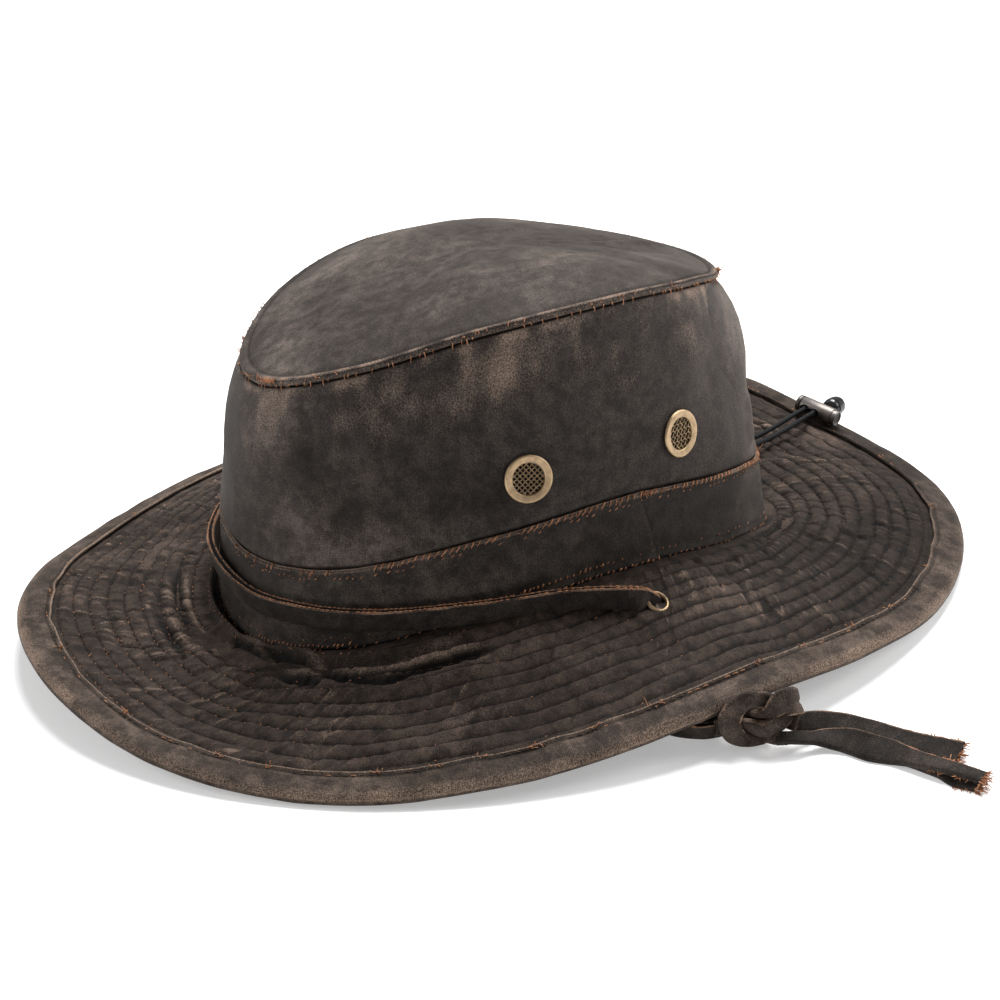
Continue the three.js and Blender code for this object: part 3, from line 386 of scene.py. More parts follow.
@dataclass(frozen=True)
class HatForm:
    """The hat's main surfaces, in millimetres, from the same sizes as its solids."""

    head_length: float = 213
    head_width: float = 170
    head_squareness: float = 2.13
    top_length: float = 186
    top_width: float = 155
    top_squareness: float = 1.8
    crown_rise: float = 100
    dome_rise: float = 17
    dome_fullness: float = 2.2
    shoulder: float = 5
    band_height: float = 30
    band_inset_front: float = 3.9
    band_inset_side: float = 0.8
    brim_width: float = 76
    brim_thick: float = 2.4
    binding_width: float = 12.5
    binding_cloth: float = 0.9
    binding_nose: float = 1.6
    binding_clear: float = 0.45

    def oval(self, angle: Array, length: float, width: float, squareness: float) -> Array:
        """Points of a squared oval in the level plane."""
        turn = np.radians(np.asarray(angle, float))
        c, s = np.cos(turn), np.sin(turn)
        size = (np.abs(c) ** squareness + np.abs(s) ** squareness) ** (-1 / squareness)
        return np.stack([width / 2 * s * size, -length / 2 * c * size, np.zeros_like(c)], -1)

    def foot(self, angle: Array) -> Array:
        """Where the band meets the brim."""
        point = self.oval(angle, self.head_length, self.head_width, self.head_squareness)
        point[..., 2] = self.crown_rise * around(CROWN_ROWS, FOOT, angle)
        return point

    def band_top(self, angle: Array) -> Array:
        """Upper edge of the band."""
        length = self.head_length - 2 * self.band_inset_front
        width = self.head_width - 2 * self.band_inset_side
        point = self.oval(angle, length, width, self.head_squareness)
        rise = self.band_height * around(CROWN_ROWS, BAND, angle)
        point[..., 2] = self.foot(angle)[..., 2] + rise
        return point

    def band(self, angle: Array, share: Array) -> Array:
        """Outer face of the band from its foot (0) to its top (1)."""
        share = np.asarray(share, float)[..., None]
        return self.foot(angle) * (1 - share) + self.band_top(angle) * share

    def seam(self, angle: Array) -> Array:
        """Seam between the wall and the top panel."""
        point = self.oval(angle, self.top_length, self.top_width, self.top_squareness)
        point[..., 2] = self.crown_rise * around(CROWN_ROWS, SEAM, angle)
        return point

    def wall(self, angle: Array, share: Array) -> Array:
        """Outer face of the crown wall from the band (0) to the seam (1)."""
        angle, share = np.broadcast_arrays(np.asarray(angle, float), np.asarray(share, float))
        point = self.band_top(angle) * (1 - share[..., None]) + self.seam(angle) * share[..., None]
        push = self.shoulder * around(CROWN_ROWS, SHOULDER, angle) * 1.5 * share * (1 - share**6)
        for place, rise, spread, tall, depth in WALL_DENTS:
            near = bell(turn_between(angle, place), spread) * bell(share - rise, tall)
            push = push - depth * near * np.minimum(1, 4 * (1 - share))
        push = push * np.clip(share / 0.08, 0, 1)
        return point + outward(angle) * push[..., None]

    def dome(self, angle: Array, share: Array) -> Array:
        """Outer face of the top panel from the seam (0) to its middle (1)."""
        share = np.asarray(share, float)[..., None]
        middle = around(CROWN_ROWS, SEAM, np.array([0.0, 90.0, 180.0, 270.0])).mean()
        point = self.seam(angle) * (1 - share) + np.array([0, 0, self.crown_rise * middle]) * share
        rise = self.dome_rise * (1 - (1 - share) ** self.dome_fullness)
        return point + rise * np.array([0.0, 0, 1]) + np.array([0, 0, CLOTH])

    def edge(self, angle: Array) -> Array:
        """Outer edge of the brim."""
        reach = self.brim_width * around(BRIM_ROWS, REACH, angle)
        point = outward(angle)
        point[..., 0] *= self.head_width / 2 + reach
        point[..., 1] *= self.head_length / 2 + reach
        point[..., 2] = self.brim_width * around(BRIM_ROWS, RISE, angle)
        return point

    def brim_reach(self, angle: Array) -> Array:
        """Width of the brim at an angle."""
        return self.brim_width * around(BRIM_ROWS, REACH, angle)

    def brim(self, angle: Array, share: Array) -> Array:
        """Middle of the brim's thickness from the crown (0) to the edge (1)."""
        angle, share = np.broadcast_arrays(np.asarray(angle, float), np.asarray(share, float))
        foot = self.foot(angle)
        foot[..., 2] -= self.brim_thick / 2
        point = foot * (1 - share[..., None]) + self.edge(angle) * share[..., None]
        width = self.brim_reach(angle)
        bow = self.brim_width * around(BRIM_ROWS, BOW, angle) * 4 * share * (1 - share)
        for place, out, spread, wide, depth in BRIM_CREASES:
            near = bell(turn_between(angle, place), spread) * np.clip(share * width / 3, 0, 1)
            bow = bow - depth * near * bell(share * width - out, wide)
        point[..., 2] = np.where(share < 0, foot[..., 2], point[..., 2] + bow)
        return point

    def brim_normal(self, angle: Array, share: Array) -> Array:
        """Upward direction square to the brim."""
        across = self.brim(angle, share + 0.03) - self.brim(angle, share - 0.03)
        along = self.brim(angle + 2, share) - self.brim(angle - 2, share)
        return unit(np.cross(across, along))

    def edge_frame(self, angle: Array) -> tuple[Array, Array, Array]:
        """Edge point, direction across the brim there, and the upward one square to it."""
        end = self.edge(angle)
        out = unit(end - self.brim(angle, np.full(np.shape(angle), 0.84)))
        along = unit(self.edge(angle + 2) - self.edge(angle - 2))
        return end, out, unit(np.cross(out, along))

    def binding_corners(self, angle: Array) -> Array:
        """Corners of the bound edge, as its solid has them."""
        end, out, up = self.edge_frame(angle)
        inside = self.brim_thick / 2 + self.binding_clear
        outside = inside + self.binding_cloth
        profile = ((-self.binding_width, outside), (-self.binding_nose, outside), (0, outside * 0.4),
                   (0, -outside * 0.4), (-self.binding_nose, -outside), (-self.binding_width, -outside))
        return np.stack([end + out * across + up * rise for across, rise in profile], -2)

    def shift(self) -> Array:
        """Move that puts the resting hat on the floor with its footprint about the origin."""
        corners = self.binding_corners(np.arange(48) * 7.5).reshape(-1, 3)
        low, high = corners.min(0), corners.max(0)
        return np.array([-(low[0] + high[0]) / 2, -(low[1] + high[1]) / 2, -low[2]])


HAT = HatForm()
SHIFT = HAT.shift()
ASIDE = SHIFT * [1, 1, 0]


class MeshMaker:
    """Makes mesh objects from arrays of points in millimetres."""

    @staticmethod
    def volume(points: Array, faces: Array) -> float:
        """Signed volume inside triangles or quads."""
        a, b, c = (points[faces[:, i]] for i in range(3))
        total = np.einsum("ij,ij->i", a, np.cross(b, c)).sum()
        if faces.shape[1] == 4:
            d = points[faces[:, 3]]
            total += np.einsum("ij,ij->i", a, np.cross(c, d)).sum()
        return float(total)

    @staticmethod
    def build(name: str, points: Array, quads: Array, triangles: Array | None = None,
              marks: dict[str, Array] | None = None, sheet: Array | None = None) -> Piece:
        """Makes one mesh object.

        Args:
            name: the piece's name.
            points: corners in millimetres.
            quads: four corner numbers a face.
            triangles: three corner numbers a face, where there are such faces.
            marks: named values, one a corner.
            sheet: cloth coordinates in metres, one pair a quad corner.

        Returns:
            The linked object.
        """
        triangles = np.zeros((0, 3), int) if triangles is None else triangles
        if MeshMaker.volume(points, quads) + MeshMaker.volume(points, triangles) < 0:
            quads, triangles = quads[:, ::-1], triangles[:, ::-1]
            sheet = None if sheet is None else sheet[:, ::-1]
        mesh = bpy.data.meshes.new(name)
        loops = np.concatenate([quads.ravel(), triangles.ravel()]).astype(np.int32)
        sizes = np.concatenate([np.full(len(quads), 4), np.full(len(triangles), 3)]).astype(np.int32)
        mesh.vertices.add(len(points))
        mesh.vertices.foreach_set("co", (points * MM).astype(np.float32).ravel())
        mesh.loops.add(len(loops))
        mesh.loops.foreach_set("vertex_index", loops)
        mesh.polygons.add(len(sizes))
        mesh.polygons.foreach_set("loop_start", np.concatenate([[0], np.cumsum(sizes)[:-1]]).astype(np.int32))
        mesh.polygons.foreach_set("use_smooth", np.full(len(sizes), True))
        mesh.update(calc_edges=True)
        mesh.validate()
        for label, values in (marks or {}).items():
            layer = mesh.attributes.new(label, "FLOAT", "POINT")
            layer.data.foreach_set("value", np.clip(values, 0, 1).astype(np.float32).ravel())
        layer = mesh.uv_layers.new(name="cloth")
        pairs = np.zeros((len(loops), 2))
        if sheet is not None:
            pairs[: len(quads) * 4] = sheet.reshape(-1, 2)
        layer.data.foreach_set("uv", pairs.astype(np.float32).ravel())
        piece = bpy.data.objects.new(name, mesh)
        bpy.context.scene.collection.objects.link(piece)
        return piece

    @staticmethod
    def ring(name: str, grid: Array, marks: dict[str, Array] | None = None) -> Piece:
        """Closed ring body from points laid out as sections round the hat.

        Args:
            name: the piece's name.
            grid: points as [section, place in section, xyz], closed both ways.
            marks: named values laid out the same way.

        Returns:
            The linked object.
        """
        count, sides = grid.shape[:2]
        i, j = np.meshgrid(np.arange(count), np.arange(sides), indexing="ij")
        k, m = (i + 1) % count, (j + 1) % sides
        quads = np.stack([i * sides + j, k * sides + j, k * sides + m, i * sides + m], -1).reshape(-1, 4)
        along = np.linalg.norm(np.roll(grid, -1, 0) - grid, axis=2).mean(1)
        down = np.linalg.norm(np.roll(grid, -1, 1) - grid, axis=2).mean(0)
        u = np.concatenate([[0], np.cumsum(along)]) * MM
        v = np.concatenate([[0], np.cumsum(down)]) * MM
        sheet = np.stack([np.stack([u[i], v[j]], -1), np.stack([u[i + 1], v[j]], -1),
                          np.stack([u[i + 1], v[j + 1]], -1), np.stack([u[i], v[j + 1]], -1)], -2).reshape(-1, 4, 2)
        flat = {label: values.reshape(-1) for label, values in (marks or {}).items()}
        return MeshMaker.build(name, grid.reshape(-1, 3), quads, None, flat, sheet)

    @staticmethod
    def sweep(name: str, grid: Array, marks: dict[str, Array] | None = None) -> Piece:
        """Body through matching sections, closed round each section and capped at its ends.

        Args:
            name: the piece's name.
            grid: points as [section, place in section, xyz].
            marks: named values laid out the same way.

        Returns:
            The linked object.
        """
        count, sides = grid.shape[:2]
        i, j = np.meshgrid(np.arange(count - 1), np.arange(sides), indexing="ij")
        m = (j + 1) % sides
        quads = np.stack([i * sides + j, (i + 1) * sides + j, (i + 1) * sides + m, i * sides + m], -1).reshape(-1, 4)
        along = np.concatenate([[0], np.cumsum(np.linalg.norm(np.diff(grid.mean(1), axis=0), axis=1))]) * MM
        down = np.concatenate([[0], np.cumsum(np.linalg.norm(np.roll(grid, -1, 1) - grid, axis=2).mean(0))]) * MM
        sheet = np.stack([np.stack([along[i], down[j]], -1), np.stack([along[i + 1], down[j]], -1),
                          np.stack([along[i + 1], down[j + 1]], -1), np.stack([along[i], down[j + 1]], -1)],
                         -2).reshape(-1, 4, 2)
        points = np.vstack([grid.reshape(-1, 3), grid[0].mean(0), grid[-1].mean(0)])
        last = (count - 1) * sides
        k = np.arange(sides)
        caps = np.vstack([np.stack([(k + 1) % sides, k, np.full(sides, count * sides)], -1),
                          np.stack([last + k, last + (k + 1) % sides, np.full(sides, count * sides + 1)], -1)])
        flat = {label: np.append(values.reshape(-1), [values[0].mean(), values[-1].mean()])
                for label, values in (marks or {}).items()}
        return MeshMaker.build(name, points, quads, caps, flat, sheet)

    @staticmethod
    def strokes(name: str, paths: Array, radii: Array, sides: int = 5) -> Piece:
        """Many short threads as one mesh.

        Args:
            name: the piece's name.
            paths: centre points as [thread, place, xyz] in millimetres.
            radii: half thickness as [thread, place].
            sides: faces round each thread.

        Returns:
            The linked object.
        """
        count, steps = paths.shape[:2]
        way = unit(np.gradient(paths, axis=1))
        helper = np.where(np.abs(way[..., 2:3]) > 0.8, np.array([1.0, 0, 0]), np.array([0, 0, 1.0]))
        side = unit(np.cross(way, helper))
        up = np.cross(side, way)
        turn = np.arange(sides) * 2 * np.pi / sides
        circle = side[:, :, None] * np.cos(turn)[:, None] + up[:, :, None] * np.sin(turn)[:, None]
        body = paths[:, :, None] + circle * radii[:, :, None, None]
        tips = np.stack([paths[:, 0], paths[:, -1]], 1)
        block = steps * sides
        points = np.concatenate([body.reshape(count, -1, 3), tips], 1)
        i, j = np.meshgrid(np.arange(steps - 1), np.arange(sides), indexing="ij")
        m = (j + 1) % sides
        quads = np.stack([i * sides + j, i * sides + m, (i + 1) * sides + m, (i + 1) * sides + j], -1).reshape(-1, 4)
        k = np.arange(sides)
        last = (steps - 1) * sides
        caps = np.vstack([np.stack([(k + 1) % sides, k, np.full(sides, block)], -1),
                          np.stack([last + k, last + (k + 1) % sides, np.full(sides, block + 1)], -1)])
        base = (np.arange(count) * (block + 2))[:, None, None]
        return MeshMaker.build(name, points.reshape(-1, 3), (quads[None] + base).reshape(-1, 4),
                               (caps[None] + base).reshape(-1, 3))


class Route:
    """Smooth line through points, spaced so that it never overshoots."""

    def __init__(self, points: list | Array) -> None:
        """Keeps the points that the line passes."""
        self.points = np.asarray(points, float)

    def at(self, share: Array) -> Array:
        """Points at shares of the way, counted by the stretches between the given points."""
        p = self.points
        ring = np.vstack([2 * p[0] - p[1], p, 2 * p[-1] - p[-2]])
        place = np.clip(np.asarray(share, float), 0, 1) * (len(p) - 1)
        first = np.minimum(place.astype(int), len(p) - 2)
        w = (place - first)[:, None]
        p0, p1, p2, p3 = (ring[first + k] for k in range(4))
        d0, d1, d2 = (np.sqrt(np.linalg.norm(b - a, axis=1))[:, None] for a, b in ((p0, p1), (p1, p2), (p2, p3)))
        a = ((p1 - p0) / d0 - (p2 - p0) / (d0 + d1) + (p2 - p1) / d1) * d1
        b = ((p2 - p1) / d1 - (p3 - p1) / (d1 + d2) + (p3 - p2) / d2) * d1
        return p1 + a * w + (3 * (p2 - p1) - 2 * a - b) * w**2 + (2 * (p1 - p2) + a + b) * w**3

    def way(self, share: Array) -> Array:
        """Directions along the line at shares of the way."""
        return unit(self.at(np.clip(share + 2e-4, 0, 1)) - self.at(np.clip(share - 2e-4, 0, 1)))

    def length(self) -> float:
        """Length of the line in millimetres."""
        return float(np.linalg.norm(np.diff(self.at(np.linspace(0, 1, 600)), axis=0), axis=1).sum())


class Weathering(Enum):
    """How worn a cloth is; the knot's finish is the strap's cloth painted lighter, as painted light."""

    CROWN = "crown"
    BRIM = "brim"
    EDGE = "edge"
    KNOT = "knot"
    STRAP = "strap"


@dataclass(frozen=True)
class ClothFinish:
    """Colours and relief of waxed cloth, from its dark wax to its rubbed crests."""

    dark: tuple[float, float, float]
    wax: tuple[float, float, float]
    cloud: tuple[float, float, float]
    rubbed: tuple[float, float, float]
    cloud_scale: float = 26
    cloud_low: float = 0.46
    cloud_high: float = 0.7
    grain: float = 0.42
    rough: float = 0.7
    crumple: float = 0


FINISHES = {
    Weathering.CROWN: ClothFinish((0.025, 0.0205, 0.018), (0.05, 0.0415, 0.0365), (0.135, 0.109, 0.093),
                                  (0.235, 0.168, 0.13), 15, 0.44, 0.7),
    Weathering.BRIM: ClothFinish((0.0135, 0.0096, 0.0077), (0.042, 0.0297, 0.0236), (0.077, 0.055, 0.0438),
                                 (0.175, 0.124, 0.095), 30, crumple=1.0),
    Weathering.EDGE: ClothFinish((0.02, 0.0142, 0.0112), (0.056, 0.0405, 0.032), (0.1, 0.075, 0.0595),
                                 (0.23, 0.163, 0.121), 90, 0.42, 0.66, 0.5, crumple=0.4),
    # The knot's cloth is the strap's cloth painted lighter: painted light from the front on the knot
    Weathering.KNOT: ClothFinish((0.022, 0.0158, 0.0128), (0.056, 0.0415, 0.0335), (0.118, 0.087, 0.069),
                                 (0.36, 0.23, 0.162), 80, crumple=0.5),
    Weathering.STRAP: ClothFinish((0.0145, 0.0118, 0.0105), (0.03, 0.0245, 0.0215), (0.056, 0.045, 0.0385),
                                  (0.22, 0.138, 0.094), 60),
}


class Nodes:
    """Short ways to add shader nodes to one material."""

    def __init__(self, name: str) -> None:
        """Starts an empty material that uses nodes."""
        self.material = bpy.data.materials.new(name)
        self.material.use_nodes = True
        self.tree = self.material.node_tree
        self.tree.nodes.clear()
        self.place = 0

    def add(self, kind: str, **values: object) -> bpy.types.Node:
        """Adds a node, and sets its properties and inputs by name."""
        node = self.tree.nodes.new(kind)
        node.location = (self.place, 0)
        self.place += 180
        for key, value in values.items():
            if hasattr(node, key):
                setattr(node, key, value)
            else:
                node.inputs[key.replace("_", " ")].default_value = value
        return node

    def link(self, source: Socket, target: Socket) -> None:
        """Joins two sockets."""
        self.tree.links.new(source, target)

    def noise(self, where: Socket, scale: float, detail: float = 4, rough: float = 0.55) -> Socket:
        """Chance pattern of a scale given in cells a metre."""
        node = self.add("ShaderNodeTexNoise", Scale=scale, Detail=detail, Roughness=rough)
        self.link(where, node.inputs["Vector"])
        return node.outputs["Fac"]

    def spread(self, value: Socket, low: float, high: float, to_low: float = 0, to_high: float = 1) -> Socket:
        """Value from one range moved smoothly to another."""
        node = self.add("ShaderNodeMapRange", interpolation_type="SMOOTHSTEP")
        for key, number in zip(("From Min", "From Max", "To Min", "To Max"), (low, high, to_low, to_high)):
            node.inputs[key].default_value = number
        self.link(value, node.inputs["Value"])
        return node.outputs["Result"]

    def math(self, kind: str, a: Socket, b: Socket | float) -> Socket:
        """Sum, product and the like of two values."""
        node = self.add("ShaderNodeMath", operation=kind)
        self.link(a, node.inputs[0])
        if isinstance(b, (int, float)):
            node.inputs[1].default_value = b
        else:
            self.link(b, node.inputs[1])
        return node.outputs[0]

    def blend(self, share: Socket, a: object, b: object) -> Socket:
        """Colour between two, each a socket or three numbers."""
        node = self.add("ShaderNodeMix", data_type="RGBA")
        self.link(share, node.inputs[0])
        for socket, value in ((node.inputs[6], a), (node.inputs[7], b)):
            if isinstance(value, tuple):
                socket.default_value = (*value, 1)
            else:
                self.link(value, socket)
        return node.outputs[2]

    def scale(self, colour: Socket, share: Socket) -> Socket:
        """Colour made darker or lighter by a value."""
        node = self.add("ShaderNodeMix", data_type="RGBA", blend_type="MULTIPLY")
        node.inputs[0].default_value = 1
        self.link(colour, node.inputs[6])
        self.link(share, node.inputs[7])
        return node.outputs[2]

    def finish(self, colour: object, rough: object, height: Socket | None = None,
               relief: float = 0.0004, **sockets: object) -> Material:
        """Ends the material in one shader.

        Args:
            colour: socket or three numbers.
            rough: socket or number.
            height: relief of the surface, if it has any.
            relief: how far the relief reaches, in metres.
            sockets: other inputs of the shader by name.

        Returns:
            The material.
        """
        shader = self.add("ShaderNodeBsdfPrincipled")
        for key, value in sockets.items():
            shader.inputs[key.replace("_", " ")].default_value = value
        for key, value in (("Base Color", colour), ("Roughness", rough)):
            if isinstance(value, tuple):
                shader.inputs[key].default_value = (*value, 1)
            elif isinstance(value, (int, float)):
                shader.inputs[key].default_value = value
            else:
                self.link(value, shader.inputs[key])
        if height is not None:
            bump = self.add("ShaderNodeBump", Strength=1.0, Distance=relief)
            self.link(height, bump.inputs["Height"])
            self.link(bump.outputs["Normal"], shader.inputs["Normal"])
        output = self.add("ShaderNodeOutputMaterial")
        self.link(shader.outputs["BSDF"], output.inputs["Surface"])
        return self.material


class Palette:
    """Makes each finish once."""

    def __init__(self) -> None:
        """Makes all materials."""
        self.cloth = {kind: self.waxed_cloth(kind.value + "_cloth", finish) for kind, finish in FINISHES.items()}
        self.copper = self.thread("rubbed_thread", (0.26, 0.105, 0.05), (0.48, 0.235, 0.125))
        self.brown = self.thread("brown_thread", (0.03, 0.021, 0.016), (0.075, 0.05, 0.036))
        self.brass = self.metal("antique_brass", (0.42, 0.3, 0.18), (0.27, 0.19, 0.115), 0.4)
        self.gunmetal = self.metal("gunmetal", (0.15, 0.135, 0.125), (0.06, 0.052, 0.047), 0.46)
        self.elastic = self.braid("black_elastic")
        self.black = self.moulded("black_bead")
        # Near-black sheet behind the vent screens: painted shade
        self.shade_sheet = self.thread("painted_shade_sheet", (0.003, 0.0025, 0.002), (0.006, 0.005, 0.004))

    def waxed_cloth(self, name: str, finish: ClothFinish) -> Material:
        """Waxed cotton: clouds of wear, a fine weave, rubbed crests, and darkening from the deep mark, mostly painted
        shade in creases.
        """
        n = Nodes(name)
        where = n.add("ShaderNodeTexCoord")
        spot = where.outputs["Object"]
        weave_at = where.outputs["UV"]
        rub = n.add("ShaderNodeAttribute", attribute_name="rub").outputs["Fac"]
        deep = n.add("ShaderNodeAttribute", attribute_name="deep").outputs["Fac"]
        clouds = n.spread(n.noise(spot, finish.cloud_scale, 6, 0.62), finish.cloud_low, finish.cloud_high)
        mottle = n.spread(n.noise(spot, 190, 6, 0.68), 0.36, 0.64)
        grain = n.noise(spot, 1900, 4, 0.75)
        threads = []
        for direction in ("X", "Y"):
            wave = n.add("ShaderNodeTexWave", bands_direction=direction, Scale=560.0, Distortion=2.0, Detail=1.0)
            n.link(weave_at, wave.inputs["Vector"])
            threads.append(wave.outputs["Fac"])
        weave = n.math("MULTIPLY", n.math("ADD", threads[0], threads[1]), 0.5)
        fibre = n.spread(n.math("ADD", n.math("MULTIPLY", grain, 0.85), n.math("MULTIPLY", weave, 0.15)), 0.38, 0.62)
        base = n.blend(mottle, finish.dark, finish.wax)
        base = n.blend(n.math("MULTIPLY", clouds, n.spread(mottle, 0, 1, 0.4, 1)), base, finish.cloud)
        worn = n.spread(n.math("ADD", rub, n.math("MULTIPLY", n.math("SUBTRACT", grain, 0.5), 0.8)), 0.15, 0.8)
        base = n.blend(worn, base, finish.rubbed)
        base = n.scale(base, n.spread(fibre, 0, 1, 1 - finish.grain, 1 + finish.grain))
        # The deep mark darkens the colour, mostly painted shade in creases, grooves and slits
        base = n.scale(base, n.spread(deep, 0, 1, 1, 0.1))
        height = n.math("ADD", n.math("MULTIPLY", weave, 0.2), n.math("MULTIPLY", grain, 0.6))
        if finish.crumple:
            stretch = n.add("ShaderNodeMapping", Scale=(1, 0.4, 1))
            n.link(weave_at, stretch.inputs["Vector"])
            folds = n.noise(stretch.outputs["Vector"], 420, 3, 0.6)
            height = n.math("ADD", height, n.math("MULTIPLY", folds, 1.6 * finish.crumple))
        rough = n.spread(mottle, 0, 1, finish.rough - 0.08, finish.rough + 0.08)
        return n.finish(base, rough, height, 0.0003, Specular_IOR_Level=0.09, Sheen_Weight=0.05, Sheen_Roughness=0.5,
                        Sheen_Tint=(0.8, 0.68, 0.6, 1))

    def thread(self, name: str, low: tuple, high: tuple) -> Material:
        """Dull spun thread of uneven colour."""
        n = Nodes(name)
        spot = n.add("ShaderNodeTexCoord").outputs["Object"]
        share = n.spread(n.noise(spot, 700, 3), 0.3, 0.7)
        return n.finish(n.blend(share, low, high), 0.8, n.noise(spot, 5000, 1), 0.0001, Specular_IOR_Level=0.2)

    def metal(self, name: str, bright: tuple, dull: tuple, rough: float) -> Material:
        """Plated metal, dulled in patches and brighter where it is rubbed."""
        n = Nodes(name)
        spot = n.add("ShaderNodeTexCoord").outputs["Object"]
        share = n.spread(n.noise(spot, 420, 5, 0.65), 0.35, 0.7)
        scratch = n.noise(spot, 2600, 3, 0.7)
        edge = n.add("ShaderNodeAttribute", attribute_name="rub").outputs["Fac"]
        deep = n.add("ShaderNodeAttribute", attribute_name="deep").outputs["Fac"]
        colour = n.blend(edge, n.blend(share, bright, dull), tuple(min(1, c * 1.6) for c in bright))
        # The deep mark darkens the colour: painted shade in bores, grooves and recesses
        colour = n.scale(colour, n.spread(deep, 0, 1, 1, 0.1))
        return n.finish(colour, n.spread(scratch, 0.3, 0.7, rough - 0.06, rough + 0.14), scratch, 0.00004, Metallic=1.0)

    def braid(self, name: str) -> Material:
        """Black braided elastic."""
        n = Nodes(name)
        place = n.add("ShaderNodeTexCoord").outputs["UV"]
        wave = n.add("ShaderNodeTexWave", bands_direction="DIAGONAL", Scale=260.0, Distortion=0.6)
        n.link(place, wave.inputs["Vector"])
        colour = n.blend(wave.outputs["Fac"], (0.0015, 0.0016, 0.002), (0.005, 0.0053, 0.006))
        return n.finish(colour, 0.6, wave.outputs["Fac"], 0.00012, Specular_IOR_Level=0.15)

    def moulded(self, name: str) -> Material:
        """Black moulded plastic, slightly dusty."""
        n = Nodes(name)
        spot = n.add("ShaderNodeTexCoord").outputs["Object"]
        dust = n.spread(n.noise(spot, 900, 4, 0.7), 0.5, 0.8)
        colour = n.blend(dust, (0.008, 0.0085, 0.009), (0.03, 0.031, 0.032))
        return n.finish(colour, n.spread(dust, 0, 1, 0.28, 0.5), n.noise(spot, 3000, 2), 0.00003)

    def floor(self) -> Material:
        """Plain pale studio floor."""
        n = Nodes("pale_floor")
        spot = n.add("ShaderNodeTexCoord").outputs["Object"]
        tint = n.blend(n.noise(spot, 2, 2), (0.79, 0.79, 0.79), (0.81, 0.81, 0.81))
        return n.finish(tint, 0.6, Specular_IOR_Level=0.1, Emission_Color=(1, 1, 1, 1), Emission_Strength=0.36)


def settle(piece: Piece, material: Material, body: str = "hat", nodes: tuple = ()) -> Piece:
    """Gives a finished piece its material, slot, body and the solids that it stands for.

    Args:
        piece: the finished object.
        material: its finish.
        body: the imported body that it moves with.
        nodes: names of the solids that it replaces.

    Returns:
        The piece.
    """
    piece.data.materials.clear()
    piece.data.materials.append(material)
    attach(piece, body)
    if nodes:
        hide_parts(*nodes)
    LOG.info("%s: %d faces", piece.name, len(piece.data.polygons))
    return piece


def placed(origin: Array, axis: Array, side: Array) -> Matrix:
    """Place in metres with z along the axis and x by the side.

    Args:
        origin: point in millimetres.
        axis: direction of z.
        side: direction near x.

    Returns:
        The matrix.
    """
    z = unit(np.asarray(axis, float))
    x = unit(side - z * np.dot(side, z))
    y = np.cross(z, x)
    spot = np.asarray(origin) * MM
    return Matrix([[x[i], y[i], z[i], spot[i]] for i in range(3)] + [[0, 0, 0, 1]])


def vent_place(angle: float, share: float) -> Matrix:
    """Place of a vent in metres, its axis square to the wall."""
    at = HAT.wall(angle, share)
    up = HAT.wall(angle, share + 0.08) - HAT.wall(angle, share - 0.08)
    along = HAT.wall(angle + 4, share) - HAT.wall(angle - 4, share)
    return placed(at + SHIFT, np.cross(along, up), up)


def drilled(piece: Piece, place: Matrix, radius: float, depth: float, facets: int) -> None:
    """Cuts a round hole through a piece.

    Args:
        piece: what is cut.
        place: middle of the hole, with z along it.
        radius: half the hole's width in millimetres.
        depth: length of the cut in millimetres.
        facets: how many flat sides the hole has.
    """
    bpy.ops.object.select_all(action="DESELECT")
    bpy.ops.mesh.primitive_cylinder_add(vertices=facets, radius=radius * MM, depth=depth * MM)
    cutter = bpy.context.active_object
    cutter.matrix_world = place
    cut = piece.modifiers.new("hole", "BOOLEAN")
    cut.object = cutter
    cut.operation = "DIFFERENCE"
    cut.solver = "EXACT"
    bpy.context.view_layer.objects.active = piece
    bpy.ops.object.modifier_apply(modifier=cut.name)
    bpy.data.objects.remove(cutter)


def laid_on_floor(piece: Piece, clear: float = 0.05) -> None:
    """Lifts what lies below the floor up to it; clear is in millimetres."""
    flat = np.empty(len(piece.data.vertices) * 3, np.float32)
    piece.data.vertices.foreach_get("co", flat)
    flat[2::3] = np.maximum(flat[2::3], clear * MM)
    piece.data.vertices.foreach_set("co", flat)
    piece.data.update()


def mark(piece: Piece, label: str, spots: list) -> None:
    """Marks places of a turned piece, before it is moved, by (radius, height, reach, value) in millimetres."""
    co = np.array([tuple(corner.co) for corner in piece.data.vertices]) / MM
    radius = np.hypot(co[:, 0], co[:, 1])
    values = np.zeros(len(co))
    for at_radius, height, reach, value in spots:
        near = bell(np.hypot(radius - at_radius, co[:, 2] - height), reach)
        values = np.maximum(values, value * near)
    layer = piece.data.attributes.new(label, "FLOAT", "POINT")
    layer.data.foreach_set("value", values.astype(np.float32))


